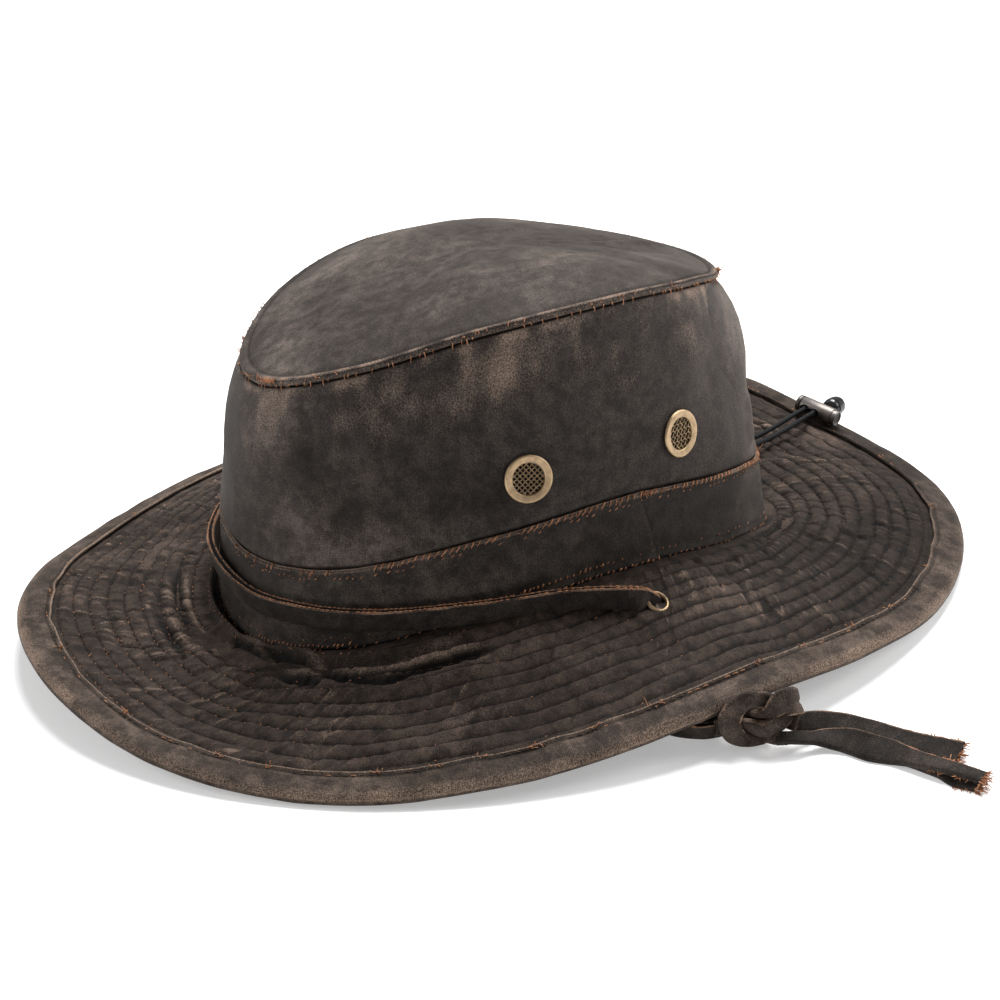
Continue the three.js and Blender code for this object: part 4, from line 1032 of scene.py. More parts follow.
def spun(name: str, outline: list, place: Matrix, steps: int = 64, bright: tuple = (), dark: tuple = ()) -> Piece:
    """Turned piece: a circle of as many corners as its outline, shaped and spun about its axis.

    Args:
        name: the piece's name.
        outline: closed outline as (radius, height) in millimetres.
        place: where the piece goes.
        steps: facets round the axis.
        bright: rubbed places as (radius, height, reach, value).
        dark: dark places, given the same way.

    Returns:
        The finished object.
    """
    bpy.ops.object.select_all(action="DESELECT")
    bpy.ops.mesh.primitive_circle_add(vertices=len(outline), radius=MM, location=(0, 0, 0))
    piece = bpy.context.active_object
    piece.name = piece.data.name = name
    for corner, (radius, height) in zip(piece.data.vertices, outline):
        corner.co = (radius * MM, 0, height * MM)
    bpy.ops.object.mode_set(mode="EDIT")
    bpy.ops.mesh.select_all(action="SELECT")
    bpy.ops.mesh.spin(steps=steps, angle=2 * math.pi, center=(0, 0, 0), axis=(0, 0, 1), use_auto_merge=False)
    bpy.ops.mesh.select_all(action="SELECT")
    bpy.ops.mesh.remove_doubles(threshold=0.00001)
    bpy.ops.mesh.normals_make_consistent(inside=False)
    bpy.ops.object.mode_set(mode="OBJECT")
    mark(piece, "rub", bright)
    mark(piece, "deep", dark)
    piece.data.transform(place)
    bpy.ops.object.shade_smooth_by_angle(angle=math.radians(50))
    return piece


def sewn(name: str, paths: Array, radii: Array, material: Material,
         sides: int = 5) -> Piece:
    """Many short threads as one finished piece.

    Args:
        name: the piece's name.
        paths: centre points as [thread, place, xyz], before the hat's move to the floor.
        radii: half thickness as [thread, place].
        material: the thread's finish.
        sides: faces round each thread.

    Returns:
        The finished object.
    """
    return settle(MeshMaker.strokes(name, paths + SHIFT, radii, sides), material)


def ring_angles(count: int) -> Array:
    """Even angles all the way round."""
    return np.arange(count) * 360 / count


@dataclass
class Crown:
    """Top panel, wall and their seam."""

    palette: Palette
    around_steps: int = 640
    seam_ridge: float = 0.7
    dome_radius: float = 80
    vent_hole: float = 6.3
    vent_cut: float = 12
    wrinkles: Ripple = field(default_factory=lambda: Ripple(11, 36, 40))
    fine: Ripple = field(default_factory=lambda: Ripple(12, 120, 60))

    def top_detail(self, point: Array, angle: Array, share: Array) -> tuple[Array, Array]:
        """Relief and wear of the top panel.

        Args:
            point: points of the plain dome.
            angle: their angles.
            share: their shares of the way to the middle.

        Returns:
            Upward relief in millimetres, and wear from 0 to 1 with a painted highlight along the seam's lit side.
        """
        radius = (1 - share) * self.dome_radius
        edge = bell(radius - 79.1, 0.95)
        relief = self.seam_ridge * edge - 0.4 * bell(radius - 77.1, 0.8)
        gathers = 0.5 * self.wrinkles.at(angle / 360, 6 + radius / 22)
        relief = relief + gathers * ramp(share, 0.02, 0.2) * ramp(1 - share, 0, 0.3)
        x, y = point[..., 0], point[..., 1]
        for start_x, slope, from_y, to_y, depth in DOME_CREASES:
            line = x - start_x - slope * y
            along = ramp(y, from_y, from_y + 26) * (1 - ramp(y, to_y - 12, to_y))
            relief = relief + depth * along * (bell(line - 1.4, 1.5) - 0.9 * bell(line + 1.6, 1.7))
        # The rubbed tan line along the seam's ridge is kept mainly on its lit side, so it is wear with a painted
        # highlight
        lit = 0.15 + 0.85 * (1 - ramp(np.abs(turn_between(angle, 76)), 72, 82))
        wear = 0.85 * bell(radius - 79.3, 0.7) * (0.65 + 0.35 * self.fine.at(angle / 360, 4)) * lit
        wear = wear + 0.14 * ramp(relief, 0.3, 0.9) * (1 - edge)
        wear = wear + 0.1 * ramp(self.wrinkles.at(angle / 360 + 0.4, 3 + radius / 12), 0.1, 0.8)
        return relief * ramp(share, 0.0, 0.012) + self.seam_ridge * edge * (1 - ramp(share, 0, 0.012)), wear

    def top(self) -> Piece:
        """Domed top panel with its turned edge."""
        shares = np.concatenate([np.linspace(0.0, 0.06, 13), np.linspace(0.075, 0.3, 16), np.linspace(0.33, 0.97, 24)])
        angles = ring_angles(self.around_steps)
        angle, share = np.meshgrid(angles, shares, indexing="ij")
        point = HAT.dome(angle, share)
        relief, wear = self.top_detail(point, angle, share)
        upper = point + relief[..., None] * np.array([0, 0, 1.0])
        seam = HAT.seam(angles)
        out = outward(angles)
        edge = np.stack([seam, seam + out * 0.35 + [0, 0, 0.45], seam + out * 0.42 + [0, 0, 1.2]], 1)
        inner_shares = np.linspace(0.97, 0.035, 12)
        inner_angle, inner_share = np.meshgrid(angles, inner_shares, indexing="ij")
        inner = HAT.dome(inner_angle, inner_share) - np.array([0, 0, CLOTH])
        grid = np.concatenate([inner, edge, upper], 1)
        rub, dark = np.zeros(grid.shape[:2]), np.zeros(grid.shape[:2])
        rub[:, -len(shares):] = wear
        rub[:, len(inner_shares):len(inner_shares) + 3] = 0.3
        seam_shade = 0.6 * bell((1 - share) * self.dome_radius - 77.3, 0.6) + 0.5 * bell(share, 0.004)
        back_shade = 0.5 * bell(turn_between(angle, 128), 22) * (1 - ramp(share, 0.08, 0.4))
        dark[:, -len(shares):] = seam_shade + back_shade
        count, sides = grid.shape[:2]
        i, j = np.meshgrid(np.arange(count), np.arange(sides - 1), indexing="ij")
        k = (i + 1) % count
        quads = np.stack([i * sides + j, k * sides + j, k * sides + j + 1, i * sides + j + 1], -1).reshape(-1, 4)
        points = np.vstack([grid.reshape(-1, 3), HAT.dome(0.0, 1.0), HAT.dome(0.0, 1.0) - [0, 0, CLOTH]])
        ring = np.arange(count)
        after = (ring + 1) % count
        top, low = count * sides, count * sides + 1
        caps = np.vstack([np.stack([ring * sides + sides - 1, after * sides + sides - 1, np.full(count, top)], -1),
                          np.stack([after * sides, ring * sides, np.full(count, low)], -1)])
        marks = {label: np.append(values.reshape(-1), [0, 0]) for label, values in (("rub", rub), ("deep", dark))}
        piece = MeshMaker.build("crown_panel", points + SHIFT, quads, caps, marks, (points * MM)[quads][..., :2])
        return settle(piece, self.palette.cloth[Weathering.CROWN], nodes=("crown_top",))

    def wall_detail(self, angle: Array, share: Array) -> tuple[Array, Array]:
        """Outward relief in millimetres, and wear of the wall with painted light towards the seam."""
        keep = ramp(share, 0, 0.08) * ramp(1 - share, 0, 0.06)
        slope = np.interp(share, [0, 0.1, 0.3, 0.55, 0.72, 0.86, 0.94, 1], [0, 0.08, 0.33, 0.72, 0.9, 1, 0.8, 0.2])
        lean = -9.5 * slope * bell(turn_between(angle, 151), 20)
        relief = 0.45 * self.wrinkles.at(angle / 360, share * 3.2) + 0.1 * self.fine.at(angle / 360, share * 14)
        wear = np.zeros(np.shape(relief))
        for trail, height, width in WALL_FOLDS:
            trail = np.array(trail, float)
            at = np.interp(share, trail[:, 1], trail[:, 0])
            first, last = trail[0, 1], trail[-1, 1]
            inside = ramp(share, first - 0.05, first + 0.05) * (1 - ramp(share, last - 0.05, last + 0.05))
            off = turn_between(angle, 0) - at
            relief = relief + height * inside * bell(off, width)
            wear = wear + 0.22 * inside * bell(off, width * 0.6) * (0.6 + 0.4 * self.fine.at(angle / 360, share * 30))
        wear = wear + 0.35 * bell(share - 0.97, 0.03) * (0.5 + 0.5 * self.fine.at(angle / 360, 22))
        # Clouds of wear, ramped paler up the wall towards the seam as painted light from above
        cloud = self.wrinkles.at(angle / 360 + 0.2, 14 + share * 2) + 0.6 * self.fine.at(angle / 360, 5 + share * 9)
        wear = wear + 0.42 * ramp(share, 0.4, 0.85) * ramp(cloud, -0.7, 0.8)
        return relief * keep + lean, wear

    def wall(self) -> Piece:
        """Crown wall with its folds, lapped inside the band."""
        shares = np.concatenate([[0.0, 0.03], np.linspace(0.06, 0.94, 52), [0.955, 0.97, 0.982, 0.992]])
        angles = ring_angles(self.around_steps)
        angle, share = np.meshgrid(angles, shares, indexing="ij")
        relief, wear = self.wall_detail(angle, share)
        for _, place, height in VENTS:
            at = turn_between(angle, place) * 1.5
            near = np.sqrt(at**2 + ((share - height) * 68) ** 2)
            relief = relief * ramp(near, 8.5, 13) - 0.25 * bell(near - 9.0, 1.6)
        out = outward(angle)
        outer = HAT.wall(angle, share) + out * relief[..., None]
        outer[:, -1, 2] -= GAP
        inset = CLOTH + GAP
        top, away = HAT.band_top(angles), outward(angles)
        low = [top - away * inset - [0, 0, 8], top - away * inset + [0, 0, 0.3]]
        outer[:, 0] = top - away * inset * 0.55 + [0, 0, 0.7]
        inner = (HAT.wall(angle, share) - out * CLOTH)[:, ::-5]
        inner[:, 0, 2] -= GAP
        under = [top - away * (inset + CLOTH) + [0, 0, 0.6], top - away * (inset + CLOTH) - [0, 0, 8]]
        grid = np.concatenate([np.stack(low, 1), outer, inner, np.stack(under, 1)], 1)
        shown = slice(len(low), len(low) + len(shares))
        rub, deep = np.zeros(grid.shape[:2]), np.zeros(grid.shape[:2])
        rub[:, shown] = wear
        # Painted shade: dark lines where the wall tucks under the band's edge and under the seam
        deep[:, shown] = 0.8 * bell(share, 0.012) + 0.8 * bell(share - 1.0, 0.006)
        # Painted shade darkens the wall at the places listed above, and painted light makes it paler where the shade is
        # negative
        for place, height, wide, tall, shade in WALL_PAINTED_SHADE:
            spot = bell(turn_between(angle, place), wide) * bell(share - height, tall)
            spot = spot * (0.8 + 0.4 * self.wrinkles.at(angle / 360, 9 + share * 4))
            deep[:, shown] += 0.75 * max(shade, 0) * spot
            rub[:, shown] *= 1 - 0.8 * max(shade, 0) * np.minimum(spot, 1)
            rub[:, shown] += 0.5 * max(-shade, 0) * spot
        piece = MeshMaker.ring("crown_side", grid + SHIFT, {"rub": rub, "deep": deep})
        for _, place, height in VENTS:
            drilled(piece, vent_place(place, height), self.vent_hole, self.vent_cut, 40)
        return settle(piece, self.palette.cloth[Weathering.CROWN], nodes=("crown_wall",))

    def seam_threads(self) -> None:
        """Copper thread ends that show along the top seam, with thicker tufts at two places."""
        draw = np.random.default_rng(5)
        angle = np.arange(0, 360, 1.55)
        angle = angle + draw.uniform(-0.5, 0.5, len(angle))
        angle = angle[draw.random(len(angle)) < 0.5]
        count = len(angle)
        out = outward(angle)
        seam = HAT.seam(angle)
        start = seam + out * 0.5 + [0, 0, 0.75]
        drop = draw.uniform(0.7, 2.2, count)[:, None]
        lean = draw.uniform(-0.5, 0.5, count)[:, None] * np.cross(out, [0, 0, 1.0])
        middle = start + out * 0.35 - [0, 0, 0.35] * drop + lean * 0.4
        end = start + out * draw.uniform(0.1, 0.7, count)[:, None] - np.array([0, 0, 1]) * drop + lean
        paths = np.stack([start, middle, end], 1)
        radii = np.tile([0.16, 0.17, 0.1], (count, 1)) * draw.uniform(0.8, 1.3, (count, 1))
        sewn("seam_thread_ends", paths, radii, self.palette.copper)
        angle = np.concatenate([draw.uniform(0, 360, 70), draw.normal(3, 2.2, 34), draw.normal(152, 1.6, 30),
                                draw.uniform(-150, -20, 34)])
        count = len(angle)
        out = outward(angle)
        start = HAT.seam(angle) + out * draw.uniform(0, 0.4, count)[:, None] + [0, 0, 1.3]
        away = out * draw.uniform(-0.4, 1.0, count)[:, None] + [0, 0, 1.0] * draw.uniform(0.2, 1, count)[:, None]
        reach = draw.uniform(0.8, 2.4, count)[:, None]
        curl = draw.normal(0, 0.5, (count, 3))
        paths = np.stack([start, start + away * reach * 0.5, start + away * reach + curl], 1)
        sewn("seam_frays", paths, np.tile([0.2, 0.18, 0.1], (count, 1)), self.palette.copper)

    def build(self) -> None:
        """Builds all of the crown."""
        self.top()
        self.wall()
        self.seam_threads()


@dataclass
class Band:
    """Cloth band round the crown with its stitching."""

    palette: Palette
    around_steps: int = 640
    joint_angle: float = 94
    joint_lean: float = 3.5
    joint_step: float = 0.9
    wobble: Ripple = field(default_factory=lambda: Ripple(21, 70, 24))
    soft: Ripple = field(default_factory=lambda: Ripple(22, 30, 24))

    def from_joint(self, angle: Array, share: Array) -> Array:
        """Degrees past the band's leaning joint."""
        return turn_between(angle, self.joint_angle) - self.joint_lean * (0.5 - share)

    def face(self, angle: Array, share: Array) -> Array:
        """Dressed outer face of the band."""
        angle, share = np.broadcast_arrays(np.asarray(angle, float), np.asarray(share, float))
        point = HAT.band(angle, share)
        relief = 0.3 * self.soft.at(angle / 360, share * 2.5 + 3) * (1 - (2 * share - 1) ** 4)
        relief = relief + 0.35 * bell(share - 0.97, 0.035) - 0.22 * bell(share - 0.87, 0.025)
        relief = relief - 0.25 * bell(share - 0.1, 0.03)
        off = self.from_joint(angle, share)
        relief = relief + self.joint_step * ramp(-off, -0.5, 0.1) * (1 - ramp(-off, 4, 16)) * ramp(1.02 - share, 0, 0.1)
        point = point + outward(angle) * relief[..., None]
        point[..., 2] = point[..., 2] + ramp(share, 0.6, 1) * 0.35 * self.wobble.at(angle / 360, 2.0)
        return point

    def cloth(self) -> Piece:
        """Band body with its turned top edge."""
        shares = np.concatenate([[0.0, 0.03, 0.06], np.linspace(0.09, 0.8, 15),
                                 [0.84, 0.87, 0.9, 0.93, 0.96, 0.985, 1.0]])
        angles = np.sort(np.concatenate([ring_angles(self.around_steps),
                                         self.joint_angle + np.array([-0.4, -0.2, 0.1, 0.3, 0.45])]))
        angle, share = np.meshgrid(angles, shares, indexing="ij")
        outer = self.face(angle, share)
        outer[:, 0, 2] += 0.5
        top = outer[:, -1:] + (outward(angles) * -0.8)[:, None] + [0, 0, 0.35]
        inner = (outer - outward(angle) * CLOTH)[:, ::-4]
        grid = np.concatenate([outer, top, inner], 1)
        rub = np.zeros(grid.shape[:2])
        rub[:, :len(shares)] = 0.9 * bell(share - 0.985, 0.016) * (0.7 + 0.3 * self.wobble.at(angle / 360, 7.0))
        rub[:, len(shares)] = 0.95
        off = self.from_joint(angle, share)
        rub[:, :len(shares)] += 0.25 * bell(off + 0.6, 0.7)
        deep = np.zeros(grid.shape[:2])
        # The whole band is made darker; painted shade runs along its foot by the brim and beside the joint's step
        deep[:, :len(shares)] = 0.42 + 0.55 * bell(share, 0.03) + 0.6 * bell(off - 0.35, 0.3)
        piece = MeshMaker.ring("band_cloth", grid + SHIFT, {"rub": rub, "deep": deep})
        return settle(piece, self.palette.cloth[Weathering.CROWN], nodes=("hat_band",))

    def row(self, name: str, share: float, pitch: float, tall: float, slant: float, radius: float, seed: int,
            keep: float, span: tuple[float, float] = (0, 360)) -> None:
        """One row of worn copper stitches round the band.

        Args:
            name: the piece's name.
            share: height on the band.
            pitch: degrees from stitch to stitch.
            tall: length of a stitch up the band, in millimetres.
            slant: its lean along the band, in millimetres.
            radius: half thickness of the thread.
            seed: number that fixes the chance.
            keep: share of the stitches that show.
            span: first and last angle.
        """
        draw = np.random.default_rng(seed)
        angle = np.arange(span[0], span[1], pitch)
        angle = angle[draw.random(len(angle)) < keep]
        angle = angle + draw.normal(0, pitch * 0.12, len(angle))
        count = len(angle)
        size = draw.uniform(0.6, 1.25, count)
        step = slant * size / 1.65
        rise = tall * size / 30
        lift = 0.12 + draw.uniform(0, 0.12, count)
        level = share + draw.normal(0, 0.008, count)
        out = outward(angle)
        paths = np.stack([self.face(angle + at * step, level + at * rise) + out * (lift * top - 0.05)[:, None]
                          for at, top in ((-0.5, 0.0), (0.0, 1.0), (0.5, 0.0))], 1)
        radii = radius * draw.uniform(0.75, 1.25, (count, 1)) * np.array([[0.8, 1.0, 0.8]])
        sewn(name, paths, radii, self.palette.copper)

    def edge_threads(self) -> None:
        """Slanted copper threads rubbed out of the band's turned edge."""
        draw = np.random.default_rng(31)
        angle = np.arange(0, 360, 1.42)
        angle = angle[draw.random(len(angle)) < 0.12 + 0.8 * ramp(turn_between(angle, 90), -66, -44)]
        angle = angle + draw.normal(0, 0.16, len(angle))
        count = len(angle)
        size = draw.uniform(0.5, 1.15, count) * (0.8 + 0.35 * ramp(np.abs(turn_between(angle, 75)), 95, 20))
        out = outward(angle)
        low = self.face(angle - 0.5 * size, np.full(count, 0.955)) + out * 0.1
        mid = self.face(angle - 0.05 * size, np.full(count, 0.985)) + out * 0.22 + [0, 0, 0.15]
        high = self.face(angle + 0.42 * size, np.full(count, 1.0)) + [0, 0, 0.5] + out * -0.25
        tip = high + out * -0.35 + np.stack([draw.normal(0, 0.15, count)] * 3, -1)
        paths = np.stack([low, mid, high, tip], 1)
        radii = draw.uniform(0.17, 0.3, (count, 1)) * np.array([[0.7, 1, 1, 0.5]])
        sewn("band_edge_threads", paths, radii, self.palette.copper)
        angle = np.concatenate([draw.uniform(0, 360, 60), draw.normal(self.joint_angle, 0.5, 16),
                                draw.normal(20, 1.2, 8)])
        count = len(angle)
        start = self.face(angle, np.full(count, 0.99))
        away = outward(angle) * draw.uniform(0.2, 1, count)[:, None] + draw.normal(0, 0.6, (count, 3)) + [0, 0, 0.25]
        reach = draw.uniform(0.7, 1.9, count)[:, None]
        paths = np.stack([start, start + away * reach * 0.5, start + away * reach - [0, 0, 0.3]], 1)
        sewn("band_frays", paths, np.tile([0.13, 0.12, 0.07], (count, 1)), self.palette.copper)

    def build(self) -> None:
        """Builds the band and its rows of stitches."""
        self.cloth()
        self.edge_threads()
        for values in BAND_STITCHES:
            self.row(*values)


@dataclass
class Brim:
    """Quilted brim with its bound edge and threads."""

    palette: Palette
    around_steps: int = 1240
    rows: int = 10
    first_row: float = 4.2
    row_pitch: float = 6.7
    foot_radius: float = 88
    stitch_pitch: float = 3.1
    stitch_length: float = 2.1
    joint_angle: float = 125.5
    groove: float = 0.45
    groove_width: float = 0.36
    pillow: float = 0.8
    pucker: float = 1.35
    puckers: Ripple = field(default_factory=lambda: Ripple(41, 210, 64))
    ribs: Ripple = field(default_factory=lambda: Ripple(42, 270, 32))
    creases: Ripple = field(default_factory=lambda: Ripple(45, 430, 48))
    folds: Ripple = field(default_factory=lambda: Ripple(46, 104, 24))
    waves: Ripple = field(default_factory=lambda: Ripple(43, 44, 16))
    drift: Ripple = field(default_factory=lambda: Ripple(44, 40, 64))

    def sway(self, angle: Array, row: Array) -> Array:
        """How far a quilting row strays from its even place, in rows."""
        return 0.13 * self.drift.at(angle / 360, row + 0.5)

    def row_gap(self, angle: Array) -> Array:
        """Distance from one quilting row to the next; the last one runs by the binding."""
        last = HAT.brim_reach(angle) - HAT.binding_width - 2.2
        return (last - self.first_row) / (self.rows - 1)

    def row_place(self, angle: Array, share: Array) -> Array:
        """Count of quilting rows passed at a share of the way out."""
        place = (share * HAT.brim_reach(angle) - self.first_row) / self.row_gap(angle)
        return place + self.sway(angle, place)

    def share_of_row(self, angle: Array, row: Array) -> Array:
        """Share of the way out at which a quilting row runs."""
        out = (row - self.sway(angle, row)) * self.row_gap(angle) + self.first_row
        return out / HAT.brim_reach(angle)

    def detail(self, angle: Array, share: Array) -> tuple[Array, Array, Array]:
        """Quilted relief of the upper side.

        Args:
            angle: angles in degrees.
            share: shares of the way out.

        Returns:
            Relief in millimetres, wear and painted shade of grooves and creases from 0 to 1.
        """
        width = HAT.brim_reach(angle)
        place = self.row_place(angle, share)
        nearest = np.clip(np.round(place), 0, self.rows - 1)
        off = (place - nearest) * self.row_pitch
        inside = np.abs(np.sin(np.pi * np.clip(place, -0.5, self.rows - 0.5)))
        row = np.floor(place)
        part = place - row
        calm = 0.45 + 0.55 * ramp(np.abs(turn_between(angle, 62)), 10, 34)
        calm = calm * (1 - 0.8 * bell(turn_between(angle, 14), 46) * (1 - ramp(share * width, 7, 17)))
        quilt = self.puckers.at(angle / 360 + 0.37 * row + 0.003 * part, row * 1.7 + 0.5 + 0.3 * part)
        long_rib = self.ribs.at(angle / 360 + 0.004 * place, place * 0.4)
        fine = self.creases.at(angle / 360 + 0.003 * place, place * 1.1)
        cushion = np.minimum(1, np.abs(quilt) * 1.7) ** 0.7
        ridge = 1 - np.minimum(1, np.abs(long_rib) * 2.4)
        fade = ramp(place, -0.5, 0.3) * ramp(self.rows - 0.75 - place, -0.2, 0.5)
        body = inside**0.7
        relief = self.pillow * body * (0.3 + 0.7 * cushion)
        relief = relief + self.pucker * calm * (0.35 + 0.65 * body) * (0.7 * ridge**1.5 + 0.5 * long_rib + 0.28 * fine)
        relief = relief + 0.55 * calm * self.folds.at(angle / 360 + 0.003 * place, place * 0.7 + 3)
        relief = relief - self.groove * (0.75 + 0.25 * fine) * bell(off, self.groove_width)
        relief = relief * fade
        swell = 1.3 * self.waves.at(angle / 360, share * 4.0 + 2)
        swell = swell * ramp(share, 0.03, 0.2) * (1 - ramp(share, 0.74, 0.84))
        ring = np.hypot(turn_between(angle, 87) * 1.85, (share - 0.29) * width)
        swell = swell * ramp(ring, 4, 12) + 1.3 * bell(ring, 5.5)
        # Painted shade in the stitch grooves, and a broad painted shade over the brim's right side round 132 degrees
        deep = 0.95 * bell(off, 0.28) * (0.7 + 0.3 * fine) * fade + 0.55 * bell(turn_between(angle, 132), 36)
        group = ramp(self.folds.at(angle / 360 + 0.31, place * 0.5 + 9), -0.35, 0.5)
        wear = 0.1 * ramp(swell, 0.1, 0.9) + 0.5 * calm * group * ridge**5 * (0.4 + 0.6 * body) * fade
        for trail, depth, wide, edge in BRIM_FOLDS:
            trail = np.array(trail, float)
            middle = trail[:, 0].mean()
            turn = turn_between(angle, middle) + middle
            at = np.interp(turn, trail[:, 0], trail[:, 1])
            span = ramp(turn, trail[0, 0], trail[0, 0] + 8) * (1 - ramp(turn, trail[-1, 0] - 8, trail[-1, 0]))
            gap = share * width - at
            rise = bell(gap, wide) - edge * bell(gap + 1.9 * wide, wide) - edge * bell(gap - 2.1 * wide, wide * 1.2)
            relief = relief - depth * span * rise
            # Painted shade in the fold's crease
            deep = deep + 1.1 * span * bell(gap + 0.15 * wide, wide * 0.8) * min(1, max(0, depth / 1.5))
            wear = wear + 0.25 * span * bell(gap + 2.0 * wide, wide * 0.6)
        return relief + swell, wear, deep

    def face(self, angle: Array, share: Array, proud: float = 0) -> Array:
        """Dressed upper side of the brim, moved up by a distance."""
        angle, share = np.broadcast_arrays(np.asarray(angle, float), np.asarray(share, float))
        relief, _, _ = self.detail(angle, share)
        point = HAT.brim(angle, share)
        point[..., 2] += HAT.brim_thick / 2 + relief + proud
        return point

    @staticmethod
    def smoothed(relief: Array) -> Array:
        """The same relief with its small bumps evened out, the closed way round and across."""
        total = sum(np.roll(relief, step, 0) for step in range(-5, 6)) / 11
        padded = np.pad(total, ((0, 0), (3, 3)), mode="edge")
        return sum(padded[:, k:k + relief.shape[1]] for k in range(7)) / 7

    def cloth(self) -> Piece:
        """Upper cloth of the quilted brim, down to the middle of its thickness."""
        fine = [k + np.array([0, 0.065, 0.18, 0.37, 0.57, 0.77, 0.935]) for k in range(self.rows - 1)]
        fine = np.concatenate([[-0.58, -0.4, -0.2, -0.06], *fine, self.rows - np.array([1, 0.92, 0.84, 0.7])])
        angles = ring_angles(self.around_steps)
        angle, row = np.meshgrid(angles, fine, indexing="ij")
        share = self.share_of_row(angle, row)
        relief, wear, deep = self.detail(angle, share)
        crest = relief - self.smoothed(relief)
        wear = wear + 0.3 * ramp(crest, 0.05, 0.75) * (0.5 + 0.5 * self.waves.at(angle / 360 + 0.2, share * 9))
        # Painted shade in the hollows of the relief
        deep = deep + 0.45 * ramp(-crest, 0.03, 0.45)
        top = HAT.brim(angle, share)
        top[..., 2] += HAT.brim_thick / 2 + relief
        inner = HAT.brim(angles, np.full(len(angles), -0.03))
        end, out, up = HAT.edge_frame(angles)
        rim = -HAT.binding_cloth - 0.5 - HAT.binding_clear
        half = HAT.brim_thick / 2
        flap = HAT.brim(angles, 1 - 10.6 / HAT.brim_reach(angles)) + [0, 0, half]
        back = HAT.brim(angles, np.full(len(angles), 0.4)) - [0, 0, 0.5]
        single = [inner + [0, 0, half], flap, end + out * rim + up * half, end + out * rim, back, inner]
        single = [line[:, None] for line in single]
        grid = np.concatenate([single[0], top, *single[1:]], 1)
        rub, dark = np.zeros(grid.shape[:2]), np.zeros(grid.shape[:2])
        rub[:, 1:1 + len(fine)] = wear
        dark[:, 1:1 + len(fine)] = deep
        piece = MeshMaker.ring("brim_upper_cloth", grid + SHIFT, {"rub": rub, "deep": dark})
        return settle(piece, self.palette.cloth[Weathering.BRIM], nodes=("brim",))

    def lower_cloth(self) -> Piece:
        """Lower cloth of the brim, drawn up by its quilting."""
        angles = ring_angles(500)
        half = HAT.brim_thick / 2
        coarse = np.concatenate([[self.rows - 0.7], np.arange(self.rows - 1, -0.1, -0.25), [-0.58]])
        angle, row = np.meshgrid(angles, coarse, indexing="ij")
        share = self.share_of_row(angle, row)
        low = HAT.brim(angle, share)
        swell = self.detail(angle, share)[0]
        under = 0.45 * np.abs(np.sin(np.pi * np.clip(row, 0, self.rows - 1)))
        low[..., 2] -= half + under - 0.35 * np.clip(swell, -3, 0.6)
        inner = HAT.brim(angles, np.full(len(angles), -0.03))
        end, out, up = HAT.edge_frame(angles)
        rim = end - out * (HAT.binding_cloth + 0.5 + HAT.binding_clear)
        back = HAT.brim(angles, np.full(len(angles), 0.4)) - [0, 0, 0.7]
        single = [inner - [0, 0, 0.1], back, rim - up * 0.1, rim - up * half, inner - [0, 0, half]]
        single = [line[:, None] for line in single]
        grid = np.concatenate([*single[:-1], low, single[-1]], 1)
        deep = np.zeros(grid.shape[:2])
        # Painted shade along the quilting grooves underneath
        deep[:, 4:4 + len(coarse)] = 0.5 * (np.abs(row - np.round(row)) < 0.01)
        piece = MeshMaker.ring("brim_lower_cloth", grid + SHIFT, {"rub": np.zeros_like(deep), "deep": deep})
        return settle(piece, self.palette.cloth[Weathering.BRIM])

    def binding(self) -> Piece:
        """Folded tape round the edge, with its ridge, stitch groove and one joint."""
        angles = ring_angles(1000)
        end, out, up = HAT.edge_frame(angles)
        inside = HAT.brim_thick / 2 + HAT.binding_clear
        full = inside + HAT.binding_cloth
        blend = Ripple(51, 110, 24)
        broad = Ripple(52, 40, 24)
        width = 1 + 0.05 * blend.at(angles / 360, 3.0)
        joint = turn_between(angles, self.joint_angle)
        step = 0.7 * ramp(joint, -0.9, -0.1) * (1 - ramp(joint, 5, 14))
        upper, lower = [], []
        for place, rise in BINDING_RIDGE:
            pleat = 0.42 * blend.at(angles / 360, place * 0.35) * min(1, place / 3)
            pleat = pleat + 0.4 * broad.at(angles / 360, place * 0.12)
            level = full + rise + pleat * (0.25 if place > 11.4 else 1) + step * min(1, place / 4)
            upper.append(end - out * (place * width)[:, None] + up * level[:, None])
            level = full + rise + 0.2 * blend.at(angles / 360, 9 + place * 0.35)
            lower.append(end - out * (place * width)[:, None] - up * level[:, None])
        inner = [end - out * reach + up * side * inside for reach, side in ((12.4, -1), (1.5, -1), (1.5, 1), (12.4, 1))]
        grid = np.stack(upper + lower[::-1] + inner, 1)
        grid[..., 2] = np.maximum(grid[..., 2], -SHIFT[2])
        rub = np.zeros(grid.shape[:2])
        worn = 0.5 + 0.5 * blend.at(angles / 360, 15.0)
        rub[:, 1] = rub[:, 2] = 0.75 * (0.6 + 0.4 * worn)
        rub[:, 3] = 0.45
        for k in range(11, 16):
            rub[:, k] = 0.1 + 0.07 * (k - 11) + 0.25 * worn
        # Round the back the binding is painted dark, with its rub taken away: painted shade of an edge turned from the
        # light
        back = bell(turn_between(angles, 178), 34)
        rub *= (1 - 0.85 * back)[:, None]
        # Painted shade: a dark line at the inner edge, in the stitch groove, beside the joint's step and round the back
        deep = np.zeros(grid.shape[:2])
        deep[:, 0] = 0.9
        deep[:, 5] = 0.5
        deep[:, 6] = 0.6
        deep[:, :8] = np.maximum(deep[:, :8], 0.8 * bell(joint + 1.0, 0.35)[:, None])
        deep[:, :16] = np.maximum(deep[:, :16], 0.55 * back[:, None])
        piece = MeshMaker.ring("bound_edge", grid + SHIFT, {"rub": rub, "deep": deep})
        return settle(piece, self.palette.cloth[Weathering.EDGE], nodes=("brim_binding",))

